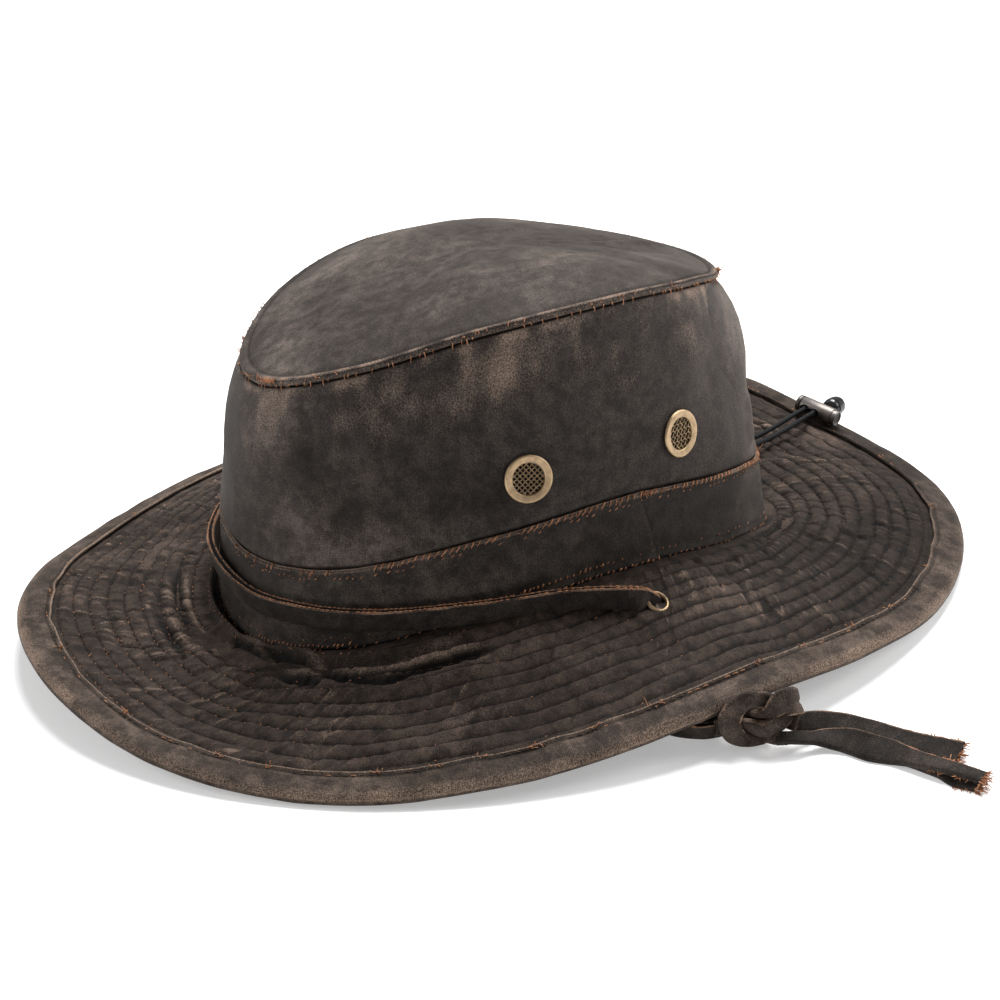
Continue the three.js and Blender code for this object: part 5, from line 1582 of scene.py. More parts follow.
    def quilting(self) -> None:
        """Rows of sunk stitches, mostly brown, some rubbed to copper, with a few loose ends."""
        draw = np.random.default_rng(61)
        brown, copper = [], []
        for row in range(self.rows):
            radius = self.foot_radius + self.row_pitch * row
            count = int(2 * np.pi * radius / self.stitch_pitch)
            angle = np.arange(count) * 360 / count + draw.uniform(0, 1)
            shown = draw.random(count)
            worn = 0.03 + 0.5 * bell(turn_between(angle, -2), 40)
            for target, picked, part, rise, stray in ((copper, shown < worn, 0.26, 0.3, 0.0016),
                                                      (brown, shown >= worn, 0.5, 0.06, 0)):
                at = angle[picked]
                half = part * self.stitch_length / radius * DEGREES_A_RADIAN * draw.uniform(0.7, 1.1, len(at))
                share = self.share_of_row(at, np.full(len(at), float(row)))
                shake = draw.normal(0, stray, (len(at), 2)) if stray else np.zeros((len(at), 2))
                target.append(np.stack([self.face(at - half, share + shake[:, 0], -0.05), self.face(at, share, rise),
                                        self.face(at + half, share + shake[:, 1], -0.05)], 1))
        paths = np.concatenate(brown)
        sewn("quilting_threads", paths, np.full((len(paths), 3), 0.13), self.palette.brown, sides=4)
        paths = np.concatenate(copper)
        radii = np.tile([0.11, 0.17, 0.11], (len(paths), 1)) * draw.uniform(0.6, 1.25, (len(paths), 1))
        sewn("rubbed_quilting_threads", paths, radii, self.palette.copper)
        angle = np.concatenate([draw.normal(2, 30, 60), draw.uniform(0, 360, 30)])
        row = draw.integers(0, self.rows, len(angle)).astype(float)
        row[:30] = draw.integers(0, 4, 30)
        start = self.face(angle, self.share_of_row(angle, row))
        lean = draw.normal(0, 0.6, (len(angle), 3)) * [1, 1, 0] + [0, 0, 0.5]
        tip = start + lean * draw.uniform(0.7, 1.4, (len(angle), 1))
        paths = np.stack([start, start + lean * 0.55 + [0, 0, 0.2], tip], 1)
        sewn("loose_thread_ends", paths, np.tile([0.16, 0.15, 0.09], (len(angle), 1)), self.palette.copper)

    def binding_threads(self) -> None:
        """Stitch line by the binding's inner edge, with copper tufts here and there."""
        draw = np.random.default_rng(71)
        angle = np.arange(0, 360, 1.05)
        angle = angle + draw.normal(0, 0.05, len(angle))
        level = HAT.brim_thick / 2 + HAT.binding_clear + HAT.binding_cloth
        paths = []
        for at, rise in ((-0.34, -0.2), (0.0, 0.06), (0.34, -0.2)):
            end, out, up = HAT.edge_frame(angle + at)
            paths.append(end - out * 10.75 + up * (level + rise))
        paths = np.stack(paths, 1)
        worn = draw.random(len(angle)) < 0.2
        radii = np.full((len(angle), 3), 0.17)
        sewn("binding_threads", paths[~worn], radii[~worn], self.palette.brown)
        sewn("rubbed_binding_threads", paths[worn], radii[worn], self.palette.copper)
        angle = np.repeat(FRAY_SPOTS, 7) + draw.normal(0, 0.45, len(FRAY_SPOTS) * 7)
        end, out, up = HAT.edge_frame(angle)
        start = end - out * (11.6 + draw.normal(0, 0.4, len(angle)))[:, None] + up * (level + 0.25)
        lean = draw.normal(0, 0.8, (len(angle), 3)) + [0, 0, 0.35]
        tip = start + lean * draw.uniform(0.6, 1.2, (len(angle), 1)) + up * 0.1
        paths = np.stack([start, start + lean * 0.5 + up * 0.25, tip], 1)
        sewn("binding_frays", paths, np.tile([0.17, 0.16, 0.1], (len(angle), 1)), self.palette.copper)

    def build(self) -> None:
        """Builds the brim, its bound edge and its threads."""
        self.cloth()
        self.lower_cloth()
        self.binding()
        self.quilting()
        self.binding_threads()


@dataclass(frozen=True)
class Station:
    """One place on a tape: its middle, the direction of its width, and its size."""

    at: Array
    wide: Array
    width: float = 9
    thick: float = 2.2


class Tape:
    """Folded flat tape bent along stations."""

    def __init__(self, stations: list[Station]) -> None:
        """Keeps the stations and the line through them."""
        self.stations = stations
        self.route = Route([stop.at for stop in stations])

    def frame_at(self, share: Array) -> tuple[Array, ...]:
        """Middle, width direction, thin direction, width and thickness at shares of the way."""
        place = np.clip(share, 0, 1) * (len(self.stations) - 1)
        first = np.minimum(place.astype(int), len(self.stations) - 2)
        w = place - first
        wide = np.array([stop.wide for stop in self.stations])
        width = np.array([stop.width for stop in self.stations])
        thick = np.array([stop.thick for stop in self.stations])
        along = self.route.way(share)
        across = wide[first] * (1 - w)[:, None] + wide[first + 1] * w[:, None]
        across = unit(across - along * np.sum(across * along, 1)[:, None])
        thin = np.cross(along, across)
        size = width[first] * (1 - w) + width[first + 1] * w
        depth = thick[first] * (1 - w) + thick[first + 1] * w
        return self.route.at(share), across, thin, size, depth

    def mesh(self, name: str, steps: int, seed: int, ragged: float = 0, edge: float = 0.8) -> Piece:
        """Tape with two turned edges that meet in a slit along its upper side.

        Args:
            name: the piece's name.
            steps: how many sections it has.
            seed: number that fixes its small folds.
            ragged: how uneven its cut end is, in millimetres.
            edge: how much its turned edges are rubbed.

        Returns:
            The linked object.
        """
        share = np.linspace(0, 1, steps)
        middle, wide, thin, width, thick = self.frame_at(share)
        outline = np.array(TAPE_OUTLINE + tuple((x, -y) for x, y in TAPE_OUTLINE[:0:-1]))
        wave = Ripple(seed, max(8, steps // 6), 12)
        grid = np.zeros((steps, len(outline), 3))
        for j, (x, y) in enumerate(outline):
            swell = 1 + 0.07 * wave.at(share * 0.98, 2.0 + y) * abs(y)
            puff = 0.1 * wave.at(share * 0.98, 5.0 + x)
            reach = x * width / 2 * (1 + 0.03 * wave.at(share * 0.98, 8.0))
            depth = y * thick / 2 * swell + np.sign(y) * puff * 0.5
            grid[:, j] = middle + wide * reach[:, None] + thin * depth[:, None]
        if ragged:
            draw = np.random.default_rng(seed)
            way = self.route.way(np.array([1.0]))[0]
            grid[-1] += way * draw.uniform(-ragged, ragged, (len(outline), 1))
        rub = np.zeros(grid.shape[:2])
        worn = 0.65 + 0.35 * wave.at(share * 0.98, 6.0)
        for j in (8, 9, 10, 15, 16, 17):
            rub[:, j] = edge * worn
        rub[:, 0] = 0.25 * edge
        # Painted shade in the slit between the turned edges
        deep = np.zeros(grid.shape[:2])
        deep[:, 11:15] = 0.9
        grid[..., 2] = np.maximum(grid[..., 2], OFF_FLOOR - SHIFT[2])
        return MeshMaker.sweep(name, grid + SHIFT, {"rub": rub, "deep": deep})

    def stitches(self, name: str, palette: Palette, first: float, last: float, pitch: float) -> Piece:
        """Two rows of copper thread along the turned edges.

        Args:
            name: the piece's name.
            palette: the finishes.
            first: share of the way where they start.
            last: share of the way where they end.
            pitch: millimetres from stitch to stitch.

        Returns:
            The linked object.
        """
        draw = np.random.default_rng(len(name) * 7)
        count = max(4, int(self.route.length() * (last - first) / pitch))
        base = np.linspace(first, last, count)
        half = (base[1] - base[0]) * 0.42
        lines = []
        for side in (1, -1):
            shake = draw.normal(0, 0.08, count)
            stops = []
            for at, lift in ((-half, -0.12), (0, 0.1), (half, -0.12)):
                middle, wide, thin, width, thick = self.frame_at(np.clip(base + at, 0, 1))
                reach = width / 2 * 0.99 + lift
                stops.append(middle + wide * reach[:, None] + thin * (side * thick / 2 * 0.62 + shake)[:, None])
            lines.append(np.stack(stops, 1))
        paths = np.concatenate(lines)
        paths = paths[draw.random(len(paths)) < 0.9]
        radii = draw.uniform(0.17, 0.27, (len(paths), 1)) * np.array([[0.8, 1, 0.8]])
        return sewn(name, paths, radii, palette.copper)


@dataclass
class ChinStrap:
    """Chin strap with its knot, its tails and the brim's two grommets."""

    palette: Palette
    width: float = 8.4
    thick: float = 2.2
    clear: float = 0.6
    floor_clear: float = 0.4
    rolled_width: float = 3.6
    rolled_thick: float = 2.8
    grommet_angle: float = 87
    grommet_share: float = 0.29
    knot_angle: float = 86.5
    knot_out: float = 8.5
    knot_height: float = 20.5
    knot_turn: float = 56

    def __post_init__(self) -> None:
        """Works out the grommets' and the knot's places, in millimetres before the shift."""
        self.lift = np.array([0, 0, SHIFT[2]])
        self.near = HAT.brim(self.grommet_angle, self.grommet_share) + self.lift
        self.far = HAT.brim(-self.grommet_angle, self.grommet_share) + self.lift
        self.mouth = self.near + [0, 0, 1.5]
        self.near_axis = HAT.brim_normal(np.array(self.grommet_angle), np.array(self.grommet_share))
        self.far_axis = HAT.brim_normal(np.array(-self.grommet_angle), np.array(self.grommet_share))
        self.knot = HAT.edge(self.knot_angle)
        self.knot[2] = self.knot_height / 2
        self.knot = self.knot + outward(self.knot_angle) * self.knot_out
        turn = math.radians(self.knot_turn)
        self.right = np.array([math.cos(turn), math.sin(turn), 0])
        self.front = np.array([math.sin(turn), -math.cos(turn), 0])
        self.up = np.array([0, 0, 1.0])

    def bore(self, centre: Array, axis: Array, heights: tuple, side: Array) -> list[Station]:
        """Stations through a grommet."""
        return [Station(centre + axis * height, side, self.rolled_width, self.rolled_thick) for height in heights]

    def mouth_stations(self) -> list[Station]:
        """Stations that lead the strap up through the near grommet's ring and over its rim."""
        axis = self.tilted_axis()
        turn = math.radians(self.grommet_angle - 90)
        along = np.array([math.sin(turn), -math.cos(turn), 0])
        fold = unit(self.right * 0.5 + self.up * 0.5 - self.front * 0.6)
        return [Station(self.mouth - axis * 1.2, fold, 4.6, 1.9),
                Station(self.mouth + axis * 0.7 + along * 0.4, fold, 5.6, 2.0),
                Station(self.mouth + along * 2.6 + self.up * 2.2, unit(self.right * 0.2 + self.up * 0.93), 7.4, 2.1),
                Station(self.mouth + along * 6.4 + self.up * 4.4, self.up, self.width, 2.1)]

    def tilted_axis(self) -> Array:
        """Axis of the near grommet, which the strap pulls askew."""
        return unit(self.near_axis + np.array([0.42, 0.1, 0]))

    def front_tape(self) -> Tape:
        """The strap round the front of the band."""
        stops = []
        for angle, up, away, lean in STRAP_ROWS:
            out = outward(angle)
            tilt = math.radians(lean)
            at = HAT.band(angle, up) + self.lift + out * (self.thick / 2 + self.clear + HAT.brim_width * away)
            at = at + out * self.width / 2 * abs(math.sin(tilt))
            open_slit = 0.8 * float(bell(np.array(angle + 5.0), 45))
            narrow = 1.3 * float(ramp(np.array(-angle), 55, 75))
            wide = self.up * math.cos(tilt) + out * math.sin(tilt)
            stops.append(Station(at, wide, self.width - narrow, self.thick + open_slit))
        return Tape(self.mouth_stations() + stops + self.bore(self.far, self.far_axis, (4.6, 2.2, 0.4), BACKWARD))

    def far_tape(self) -> Tape:
        """The strap's far side, from its grommet over the floor to the knot."""
        way = (self.near - self.far) * [1, 1, 0]
        across = unit(np.array([-way[1], way[0], 0]))
        start = self.bore(self.far, self.far_axis, (-0.4, -3.2), BACKWARD)
        bend = self.far * [1, 1, 0.45]
        stops = []
        for along, sideways, up in FAR_RUN_ROWS:
            at = self.far + way * along + across * sideways * HAT.head_length
            at[2] = self.thick / 2 + self.floor_clear + up * HAT.head_length
            stops.append(Station(at, across, self.width, self.thick))
        tilted = self.up * 0.9 - across * 0.3
        close = self.knot - self.right * 19 - self.up * 4.4 - self.front * 6.8
        end = self.knot - self.right * 8 - self.up * 3.5 - self.front * 6.5
        return Tape([*start, Station(bend, BACKWARD, self.width * 0.7, self.thick), *stops,
                     Station(close, tilted, self.width * 0.72, self.thick * 1.2),
                     Station(end, self.up, self.width * 0.6, self.thick * 1.2)])

    def near_tape(self) -> Tape:
        """The strap's near side, from its grommet to the knot."""
        start = self.bore(self.near, self.near_axis, (-0.4, -3.2), BACKWARD)
        low = (self.near + [4, -1, 0]) * [1, 1, 0] + [0, 0, self.near[2] * 0.45]
        touch = self.near + (self.knot - self.near) * 0.26
        touch[2] = self.thick / 2 + 1.2
        glide = self.near + (self.knot - self.near) * 0.5
        glide[2] = self.thick / 2 + self.floor_clear
        end = self.knot - self.right * 6 - self.front * 6 - self.up * 5
        return Tape([*start, Station(low, BACKWARD, self.width * 0.7, self.thick), Station(touch, BACKWARD),
                     Station(glide, BACKWARD),
                     Station(end, BACKWARD * 0.4 + self.up * 0.9, self.width * 0.6, self.thick)])

    def laid(self, rows: tuple) -> Tape:
        """Tape through rows given in the knot's axes."""
        stops = []
        for right, up, front, wide_right, wide_up, wide_front, width, thick in rows:
            at = self.knot + self.right * right + self.up * up + self.front * front
            wide = self.right * wide_right + self.up * wide_up + self.front * wide_front
            stops.append(Station(at, unit(wide), width, thick))
        return Tape(stops)

    def knot_mesh(self) -> list[Piece]:
        """Overhand knot of the flat strap, drawn tight, and the second strand's way out of it."""
        pieces = []
        for name, rows, count, seed in (("knot_cloth", KNOT_ROWS, 280, 81), ("knot_end", KNOT_END_ROWS, 60, 82),
                                        ("knot_turn", KNOT_TURN_ROWS, 60, 83)):
            share = np.linspace(0, 1, count)
            middle, wide, thin, width, thick = self.laid(rows).frame_at(share)
            outline = np.array([(math.cos(a), math.sin(a)) for a in np.arange(36) * 2 * np.pi / 36])
            shape = np.sign(outline) * np.abs(outline) ** np.array([0.8, 0.72])
            wave = Ripple(seed, 46, 24)
            grid = np.zeros((count, len(shape), 3))
            rub, deep = np.zeros(grid.shape[:2]), np.zeros(grid.shape[:2])
            for j, (x, y) in enumerate(shape):
                swell = 1 + 0.09 * wave.at(share * 0.98, 4 + 2 * x + y)
                slit = bell(np.array(x - 0.08), 0.09) * (y < 0)
                lip = bell(np.array(abs(x - 0.08) - 0.24), 0.12) * (y < 0)
                lip = lip + 0.6 * bell(np.array(x + 0.8), 0.12) * (y > 0)
                reach = x * width / 2 * (1 + 0.04 * wave.at(share * 0.98, 12.0))
                depth = y * (1 - 0.5 * slit + 0.14 * lip) * swell
                grid[:, j] = middle + wide * reach[:, None] + thin * (depth * thick / 2)[:, None]
                worn = 0.6 + 0.4 * wave.at(share * 0.98, 16.0)
                edges = 0.75 * bell(np.array(x + 0.93), 0.12) + 0.45 * bell(np.array(x - 0.95), 0.1)
                rub[:, j] = (edges + 0.32 * lip) * worn
                # Painted shade in the slit
                deep[:, j] = 0.8 * bell(np.array(x - 0.08), 0.06) * (y < 0)
            grid[..., 2] = np.maximum(grid[..., 2], OFF_FLOOR)
            piece = MeshMaker.sweep(name, grid + ASIDE, {"rub": rub, "deep": deep})
            pieces.append(settle(piece, self.palette.cloth[Weathering.KNOT], nodes=("strap_knot",)))
        return pieces

    def grommet(self, name: str, centre: Array, axis: Array, node: str) -> None:
        """Rolled brass grommet, turned from its outline."""
        seat = HAT.brim_thick / 2 + 0.55
        outline = [(3.0, 0), (3.0, seat), (3.1, seat + 0.6), (3.4, seat + 1.0), (3.75, seat + 1.05),
                   (4.1, seat + 0.75), (4.25, seat + 0.1), (3.8, seat - 0.1), (3.5, seat - 0.4), (3.5, 0.4 - seat),
                   (3.8, 0.1 - seat), (4.25, -seat),
                   (4.1, -seat - 0.45), (3.75, -seat - 0.8), (3.4, -seat - 0.85), (3.1, -seat - 0.55), (3.0, -seat)]
        place = placed(centre + ASIDE, axis, np.array([1.0, 0, 0]))
        piece = spun(name, outline, place, 48)
        settle(piece, self.palette.brass, nodes=(node,))

    def declare(self, tape: Tape) -> None:
        """Works out points along a finished tape; they are not used."""
        path = (tape.route.at(np.linspace(0, 1, 160)) + ASIDE) * MM

    def frays(self, name: str, tape: Tape, seed: int) -> Piece:
        """Loose copper threads at a tail's cut end and along its edges.

        Args:
            name: the piece's name.
            tape: the tail.
            seed: number that fixes the chance.

        Returns:
            The finished object.
        """
        draw = np.random.default_rng(seed)
        middle, wide, thin, width, thick = (values[0] for values in tape.frame_at(np.array([0.995])))
        way = tape.route.way(np.array([1.0]))[0]
        count, along = 46, 36
        at = draw.uniform(-1, 1, (count, 1))
        start = middle + wide * at * width / 2 + thin * draw.uniform(-0.9, 0.9, (count, 1)) * thick / 2
        reach = draw.uniform(0.8, 3.4, (count, 1))
        spray = way + draw.normal(0, 0.35, (count, 3)) + wide * at * 0.35
        tip = start + spray * reach + draw.normal(0, 0.3, (count, 3))
        cut_end = np.stack([start, start + spray * reach * 0.55, tip], 1)
        middle, wide, _, width, _ = tape.frame_at(draw.uniform(0.8, 0.98, along))
        side = draw.choice([-1.0, 1.0], along)[:, None]
        start = middle + wide * (width / 2)[:, None] * side
        spray = wide * side * 0.8 + draw.normal(0, 0.6, (along, 3))
        tip = start + spray * draw.uniform(0.6, 1.3, (along, 1))
        paths = np.concatenate([cut_end, np.stack([start, start + spray * 0.5, tip], 1)])
        paths[..., 2] = np.maximum(paths[..., 2], 0.25)
        radii = np.tile([0.2, 0.17, 0.09], (len(paths), 1)) * draw.uniform(0.7, 1.2, (len(paths), 1))
        return settle(MeshMaker.strokes(name, paths + ASIDE, radii), self.palette.copper)

    def build(self) -> None:
        strap = self.palette.cloth[Weathering.STRAP]
        level = Matrix.Translation((0, 0, -SHIFT[2] * MM))
        shown, hidden, free = (0.06, 0.94, 1.5), (0.1, 0.9, 3.2), (0.7, 0.96, 6)
        knot = self.knot_mesh()
        self.grommet("near_grommet", self.mouth, self.tilted_axis(), "grommet_near")
        self.grommet("far_grommet", self.far, self.far_axis, "grommet_far")
        parts = (("front_tape", self.front_tape(), 300, 91, "strap_front", "object", shown),
                 ("far_tape", self.far_tape(), 200, 92, "strap_far_run", "knot", hidden),
                 ("near_tape", self.near_tape(), 70, 93, "strap_near_run", "knot", hidden),
                 ("upper_tail", self.laid(UPPER_TAIL_ROWS), 90, 94, "strap_tail_upper", "bare", free),
                 ("lower_tail", self.laid(LOWER_TAIL_ROWS), 100, 95, "strap_tail_lower", "bare", free))
        for name, tape, steps, seed, node, far_end, stitching in parts:
            tail = far_end == "bare"
            piece = tape.mesh(name, steps, seed, 0.5, 0.7) if tail else tape.mesh(name, steps, seed)
            piece.data.transform(level)
            settle(piece, strap, nodes=(node,))
            threads = tape.stitches(name + "_threads", self.palette, *stitching)
            threads.data.transform(level)
            pieces = [threads]
            if tail:
                pieces.append(self.frays(name + "_frays", tape, seed))
            if name == "lower_tail":
                lap = self.laid(TAIL_LAP_ROWS)
                turned = lap.mesh("lower_tail_lap", 50, 97, 0.6, 0.7)
                turned.data.transform(level)
                pieces += [settle(turned, strap, nodes=(node,)), self.frays("tail_lap_frays", lap, 98)]
            if name == "far_tape":
                pieces.extend(knot)
            for part in [piece] + pieces:
                laid_on_floor(part)
            self.declare(tape)


@dataclass
class Vent:
    """Brass vent with a woven screen."""

    palette: Palette
    name: str
    angle: float
    share: float
    bore: float = 5.5
    pitch: float = 1.42
    wire: float = 0.2

    def ring(self) -> None:
        """Domed ring with its barrel and back flange."""
        outline = [(5.65, 0.2), (5.68, 0.62), (5.8, 0.8), (6.05, 0.86), (6.6, 0.92), (7.3, 1.04), (7.85, 1.14),
                   (8.2, 1.08), (8.42, 0.8), (8.5, 0.35), (6.1, 0.3), (6.1, -2.5), (7.6, -2.5), (7.6, -3.3),
                   (5.5, -3.3), (5.5, -0.6)]
        # The dark mark is painted shade inside the barrel's bore
        piece = spun("vent_" + self.name, outline, vent_place(self.angle, self.share),
                     bright=((8.3, 0.95, 0.22, 1), (5.75, 0.75, 0.15, 0.5)), dark=((5.5, -2, 1.6, 1),))
        settle(piece, self.palette.brass, nodes=("vent_ring_" + self.name,))

    def screen(self) -> None:
        """Screen of crossing wires, each over and under the next."""
        count = int(self.bore * 2 / self.pitch)
        reach = self.bore + 0.1
        paths = []
        for degrees, sign in ((38, 1), (128, -1)):
            turn = math.radians(degrees)
            way = np.array([math.cos(turn), math.sin(turn), 0])
            side = np.array([-way[1], way[0], 0])
            for i in range(count):
                off = (i - (count - 1) / 2) * self.pitch
                half = math.sqrt(max(0.3, reach**2 - off**2))
                along = np.linspace(-half, half, 40)
                weave = 0.2 * np.sin(np.pi * (along / self.pitch + i + 0.5)) * sign
                paths.append(way * along[:, None] + side * off + np.array([0, 0, 1]) * (weave + 0.25)[:, None])
        paths = np.array(paths)
        piece = MeshMaker.strokes("screen_" + self.name, paths, np.full(paths.shape[:2], self.wire), 6)
        piece.data.transform(vent_place(self.angle, self.share))
        settle(piece, self.palette.brass, nodes=("vent_screen_" + self.name,))

    def shade_disc(self) -> None:
        """Near-black disc behind the screen: a painted shade sheet for the dark inside of the hat."""
        outline = [(0.01, -0.3), (5.45, -0.3), (5.45, -0.55), (0.01, -0.55)]
        piece = spun("lining_" + self.name, outline, vent_place(self.angle, self.share), 32)
        settle(piece, self.palette.shade_sheet)

    def build(self) -> None:
        """Builds the ring, its screen and the dark disc of painted shade behind it."""
        self.ring()
        self.screen()
        self.shade_disc()


@dataclass
class SizingCord:
    """Elastic sizing cord with its spring lock and end bead."""

    palette: Palette
    radius: float = 0.95
    hole_rise: float = 11
    spacing: float = 4.4
    lock_radius: float = 3.5
    first_hole: float = 5.2
    tilt: float = 11
    across: float = 17
    travel: float = 1.8
    bead_length: float = 8.4
    bead_bore: float = 5
    bead_spacing: float = 1.35
    bead_drop: float = 4.4
    reach: float = 67
    drift: float = 19
    lock_rise: float = 14.8

    def __post_init__(self) -> None:
        """Works out the lock's and the bead's places, in millimetres."""
        self.start = HAT.band(180, self.hole_rise / HAT.band_height) + [0, 0, SHIFT[2]]
        self.centre = np.array([-self.drift, self.start[1] + self.reach, self.lock_rise])
        way = unit(self.centre - self.start)
        tilt, turn = math.radians(self.tilt), math.radians(self.across)
        axis = np.array([math.cos(turn), math.sin(turn), 0]) * math.cos(tilt) - np.array([0, 0, math.sin(tilt)])
        self.axis = -axis
        self.through = unit(way - self.axis * np.dot(way, self.axis))
        self.lock_start = self.centre - self.axis * (self.first_hole + self.spacing / 2)
        beyond = self.lock_radius + GAP + self.bead_length / 2 + 1.2
        self.bead = self.centre + self.through * beyond - self.axis * self.bead_drop

    def strand_points(self, side: int) -> list[Array]:
        """Route of one strand from inside the band through the lock into the bead."""
        inside = self.start + [-side * 2.6, -4, 1.2]
        leave = self.start + [-side * 2.6, 2, -0.4]
        offset = self.axis * side * self.spacing / 2
        middle = leave + (self.centre + offset - leave) * 0.45 - [0, 0, 2.2]
        before = self.centre + offset - self.through * (self.lock_radius + 3)
        after = self.centre + offset + self.through * (self.lock_radius + 0.6)
        hole = self.bead - self.through * self.bead_length / 2 + self.axis * side * self.bead_spacing
        mouth = hole + self.through * 0.4
        deep = hole + self.through * (self.bead_bore - 0.6)
        return [inside, leave, middle, before, after, mouth, deep]

    def strand(self, name: str, side: int, node: str) -> None:
        """One strand as a fine braided tube."""
        route = Route(self.strand_points(side))
        share = np.linspace(0, 1, 150)
        middle = route.at(share)
        along = route.way(share)
        flat = unit(np.cross(along, [0, 0, 1.0]))
        up = np.cross(flat, along)
        turns = np.arange(16) * 2 * np.pi / 16
        circle = flat[:, None] * np.cos(turns)[:, None] + up[:, None] * np.sin(turns)[:, None]
        grid = middle[:, None] + circle * self.radius + ASIDE
        piece = MeshMaker.sweep(name, grid, {"rub": np.zeros(grid.shape[:2])})
        settle(piece, self.palette.elastic, nodes=(node,))

    def barrel(self) -> Piece:
        """Barrel of the lock, with scalloped slots where the strands pass."""
        place = placed(self.lock_start + ASIDE, self.axis, self.through)
        outline = [(3.2, -1.8), (3.28, -1.98), (3.42, -1.92), (3.5, -1.6), (3.5, 12.2), (3.35, 12.35), (3.1, 12.4),
                   (3.1, 12.75), (3.35, 12.8), (3.45, 13.0), (3.4, 14.1), (3.2, 14.45), (2.9, 14.5),
                   (0.01, 14.5), (0.01, 13.5), (2.5, 13.5), (2.5, 0.6), (3.2, 0.6)]
        # Dark marks: painted shade in the ring groove; the closed end is made darker
        piece = spun("lock_barrel", outline, place, 56, bright=((3.45, -1.8, 0.25, 1), (3.4, 12.3, 0.15, 0.8)),
                     dark=((3.1, 12.6, 0.25, 1), (2.4, 14.5, 1.3, 0.9), (0.5, 14.5, 1.8, 0.9), (3.35, 13.7, 0.5, 0.75)))
        for i in range(2):
            at = self.lock_start + self.axis * (self.first_hole + i * self.spacing) + ASIDE
            for shift, radius in ((0, 1.65), (-1.25, 1.2), (1.25, 1.2)):
                drilled(piece, placed(at + self.axis * shift * 0.9, self.through, self.axis), radius, 20, 24)
        return settle(piece, self.palette.gunmetal, nodes=("cord_lock_barrel",))

    def plunger(self) -> Piece:
        """Plunger head and stem."""
        place = placed(self.lock_start + ASIDE, self.axis, self.through)
        room = self.travel + GAP
        outline = [(0.01, -room - 1.45), (1.4, -room - 1.5), (2.3, -room - 1.45), (2.5, -room - 1.6),
                   (2.62, -room - 1.95), (2.85, -room - 2.02), (3.05, -room - 1.8), (3.1, -room - 1.3),
                   (3.1, -1.4), (2.9, -1.3), (2.2, -1.3), (2.2, 2.2), (0.01, 2.2)]
        # The dark marks are painted shade on the face sunk inside the rim
        piece = spun("lock_plunger", outline, place, 48,
                     bright=((2.9, -room - 1.95, 0.25, 1), (3.1, -room - 1.4, 0.4, 0.5)),
                     dark=((1.2, -room - 1.45, 1.25, 0.85), (0.1, -room - 1.45, 1, 0.85)))
        return settle(piece, self.palette.gunmetal, body="plunger", nodes=("cord_lock_plunger",))

    def end_bead(self) -> Piece:
        """Black bead with a ring groove, and two bores for the strands."""
        place = placed(self.bead + ASIDE, self.through, self.axis)
        half = self.bead_length / 2
        outline = [(0.01, -half), (2.9, -half), (3.3, -half + 0.15), (3.75, -half + 0.9), (3.95, -half + 1.8),
                   (3.6, -half + 2.1), (3.6, -half + 2.5), (3.98, -half + 2.8), (4.0, 0.4), (3.9, 1.9),
                   (3.55, 3.0), (2.9, 3.7), (1.8, 4.05), (0.01, half)]
        piece = spun("end_bead", outline, place, 48)
        for side in (-1, 1):
            depth = self.bead_bore + 1
            at = self.bead + self.axis * side * self.bead_spacing + self.through * (-half - 1 + depth / 2) + ASIDE
            drilled(piece, placed(at, self.through, self.axis), 1.2, depth, 20)
        return settle(piece, self.palette.black, nodes=("cord_end_bead",))

    def build(self) -> None:
        """Builds the lock, the bead and both strands."""
        barrel = self.barrel()
        plunger = self.plunger()
        bead = self.end_bead()
        self.strand("near_strand", -1, "cord_strand_near")
        self.strand("far_strand", 1, "cord_strand_far")


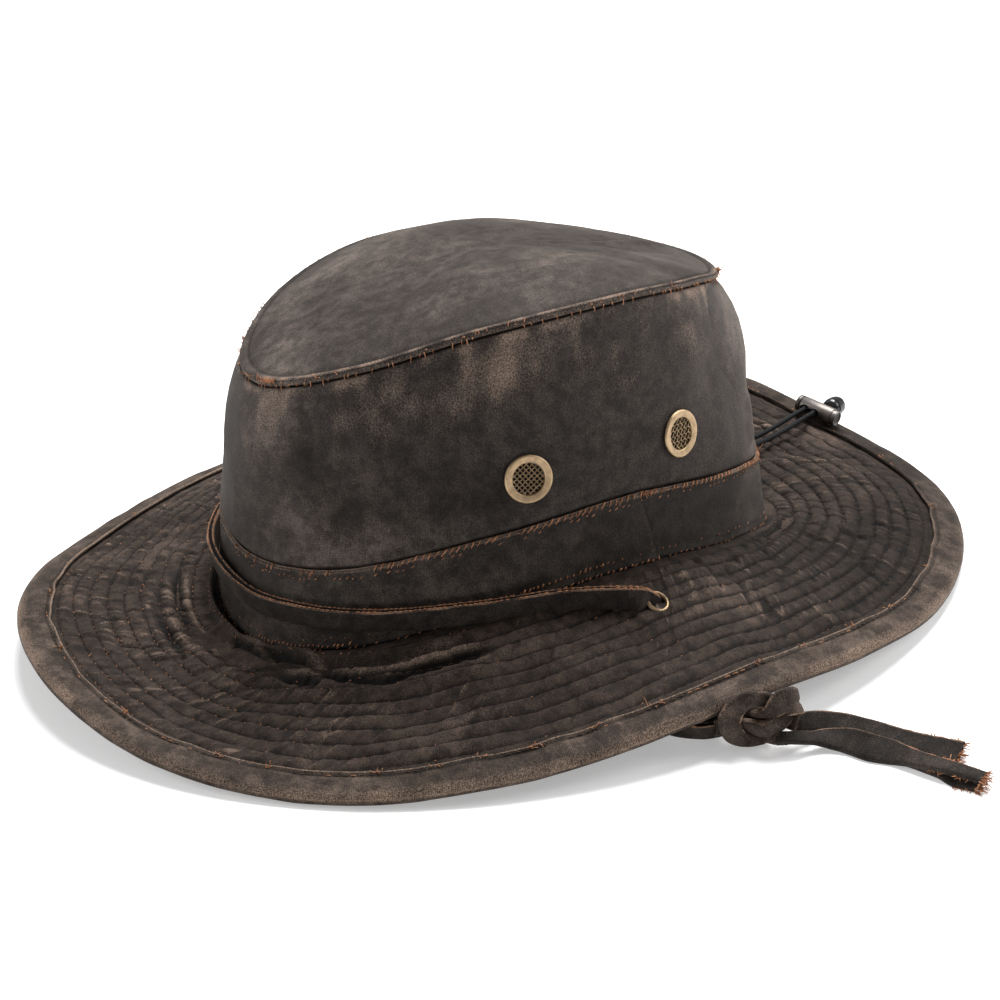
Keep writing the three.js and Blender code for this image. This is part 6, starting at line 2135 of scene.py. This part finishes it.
@dataclass(frozen=True)
class Studio:
    """Floor, soft lights and the camera at the photo's angle."""

    azimuth: float = 56.44
    elevation: float = 24.5
    roll: float = -3.45
    distance: float = 1032.31
    focal_pixels: float = 2780.56
    centre_x: float = 494.18
    centre_y: float = 512.58
    target_rise: float = 24.57
    sensor_width: float = 36
    picture_width: float = 1000

    def camera(self) -> None:
        """Camera at the photo's place, in millimetres turned to metres."""
        a, e, r = (math.radians(value) for value in (self.azimuth, self.elevation, self.roll))
        back = Vector((math.sin(a) * math.cos(e), -math.cos(a) * math.cos(e), math.sin(e)))
        right = Vector((math.cos(a), math.sin(a), 0))
        up = back.cross(right)
        right, up = right * math.cos(r) + up * math.sin(r), up * math.cos(r) - right * math.sin(r)
        target = Vector((0, 0, (self.target_rise + SHIFT[2]) * MM))
        data = bpy.data.cameras.new("camera")
        data.sensor_width = self.sensor_width
        data.lens = self.focal_pixels * self.sensor_width / self.picture_width
        data.shift_x = (self.picture_width / 2 - self.centre_x) / self.picture_width
        data.shift_y = (self.centre_y - self.picture_width / 2) / self.picture_width
        camera = bpy.data.objects.new("camera", data)
        at = target + back * self.distance * MM
        camera.matrix_world = Matrix([[right[i], up[i], back[i], at[i]] for i in range(3)] + [[0, 0, 0, 1]])
        bpy.context.scene.collection.objects.link(camera)
        bpy.context.scene.camera = camera

    def light(self, name: str, azimuth: float, elevation: float, distance: float, size: float, power: float) -> None:
        """One soft light aimed at the hat.

        Args:
            name: the light's name.
            azimuth: angle from the front towards the wearer's left.
            elevation: angle above the floor.
            distance: metres from the hat.
            size: side of the light in metres.
            power: watts.
        """
        a, e = math.radians(azimuth), math.radians(elevation)
        way = Vector((math.sin(a) * math.cos(e), -math.cos(a) * math.cos(e), math.sin(e)))
        data = bpy.data.lights.new(name, "AREA")
        data.shape = "DISK"
        data.size = size
        data.energy = power
        lamp = bpy.data.objects.new(name, data)
        turn = way.to_track_quat("Z", "Y").to_matrix().to_4x4()
        lamp.matrix_world = Matrix.Translation(way * distance + Vector((0, 0, 0.05))) @ turn
        bpy.context.scene.collection.objects.link(lamp)

    def build(self, palette: Palette) -> None:
        """Sets up the floor, the lights and the camera."""
        bpy.ops.object.select_all(action="DESELECT")
        bpy.ops.mesh.primitive_plane_add(size=12, location=(0, 0, 0))
        floor = bpy.context.active_object
        floor.name = "floor"
        floor.data.materials.append(palette.floor())
        world = bpy.data.worlds.new("studio")
        world.use_nodes = True
        background = world.node_tree.nodes["Background"]
        background.inputs["Color"].default_value = (1, 1, 1, 1)
        background.inputs["Strength"].default_value = 0.25
        bpy.context.scene.world = world
        bpy.context.scene.view_settings.view_transform = "Standard"
        self.light("top", 216, 64, 2.4, 1.3, 104)
        self.light("left", -38, 24, 1.8, 0.9, 12)
        self.light("right", 150, 28, 1.8, 0.9, 15)
        self.camera()


def main() -> None:
    """Builds every piece of the hat and its studio."""
    logging.basicConfig(level=logging.INFO, format="%(name)s: %(message)s")
    palette = Palette()
    Studio().build(palette)
    ChinStrap(palette).build()
    SizingCord(palette).build()
    Crown(palette).build()
    Band(palette).build()
    Brim(palette).build()
    for name, angle, share in VENTS:
        Vent(palette, name, angle, share).build()
    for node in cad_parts.values():
        if not node.hide_render:
            LOG.info("still shown: %s", node.name)


if __name__ == "__main__":
    main()
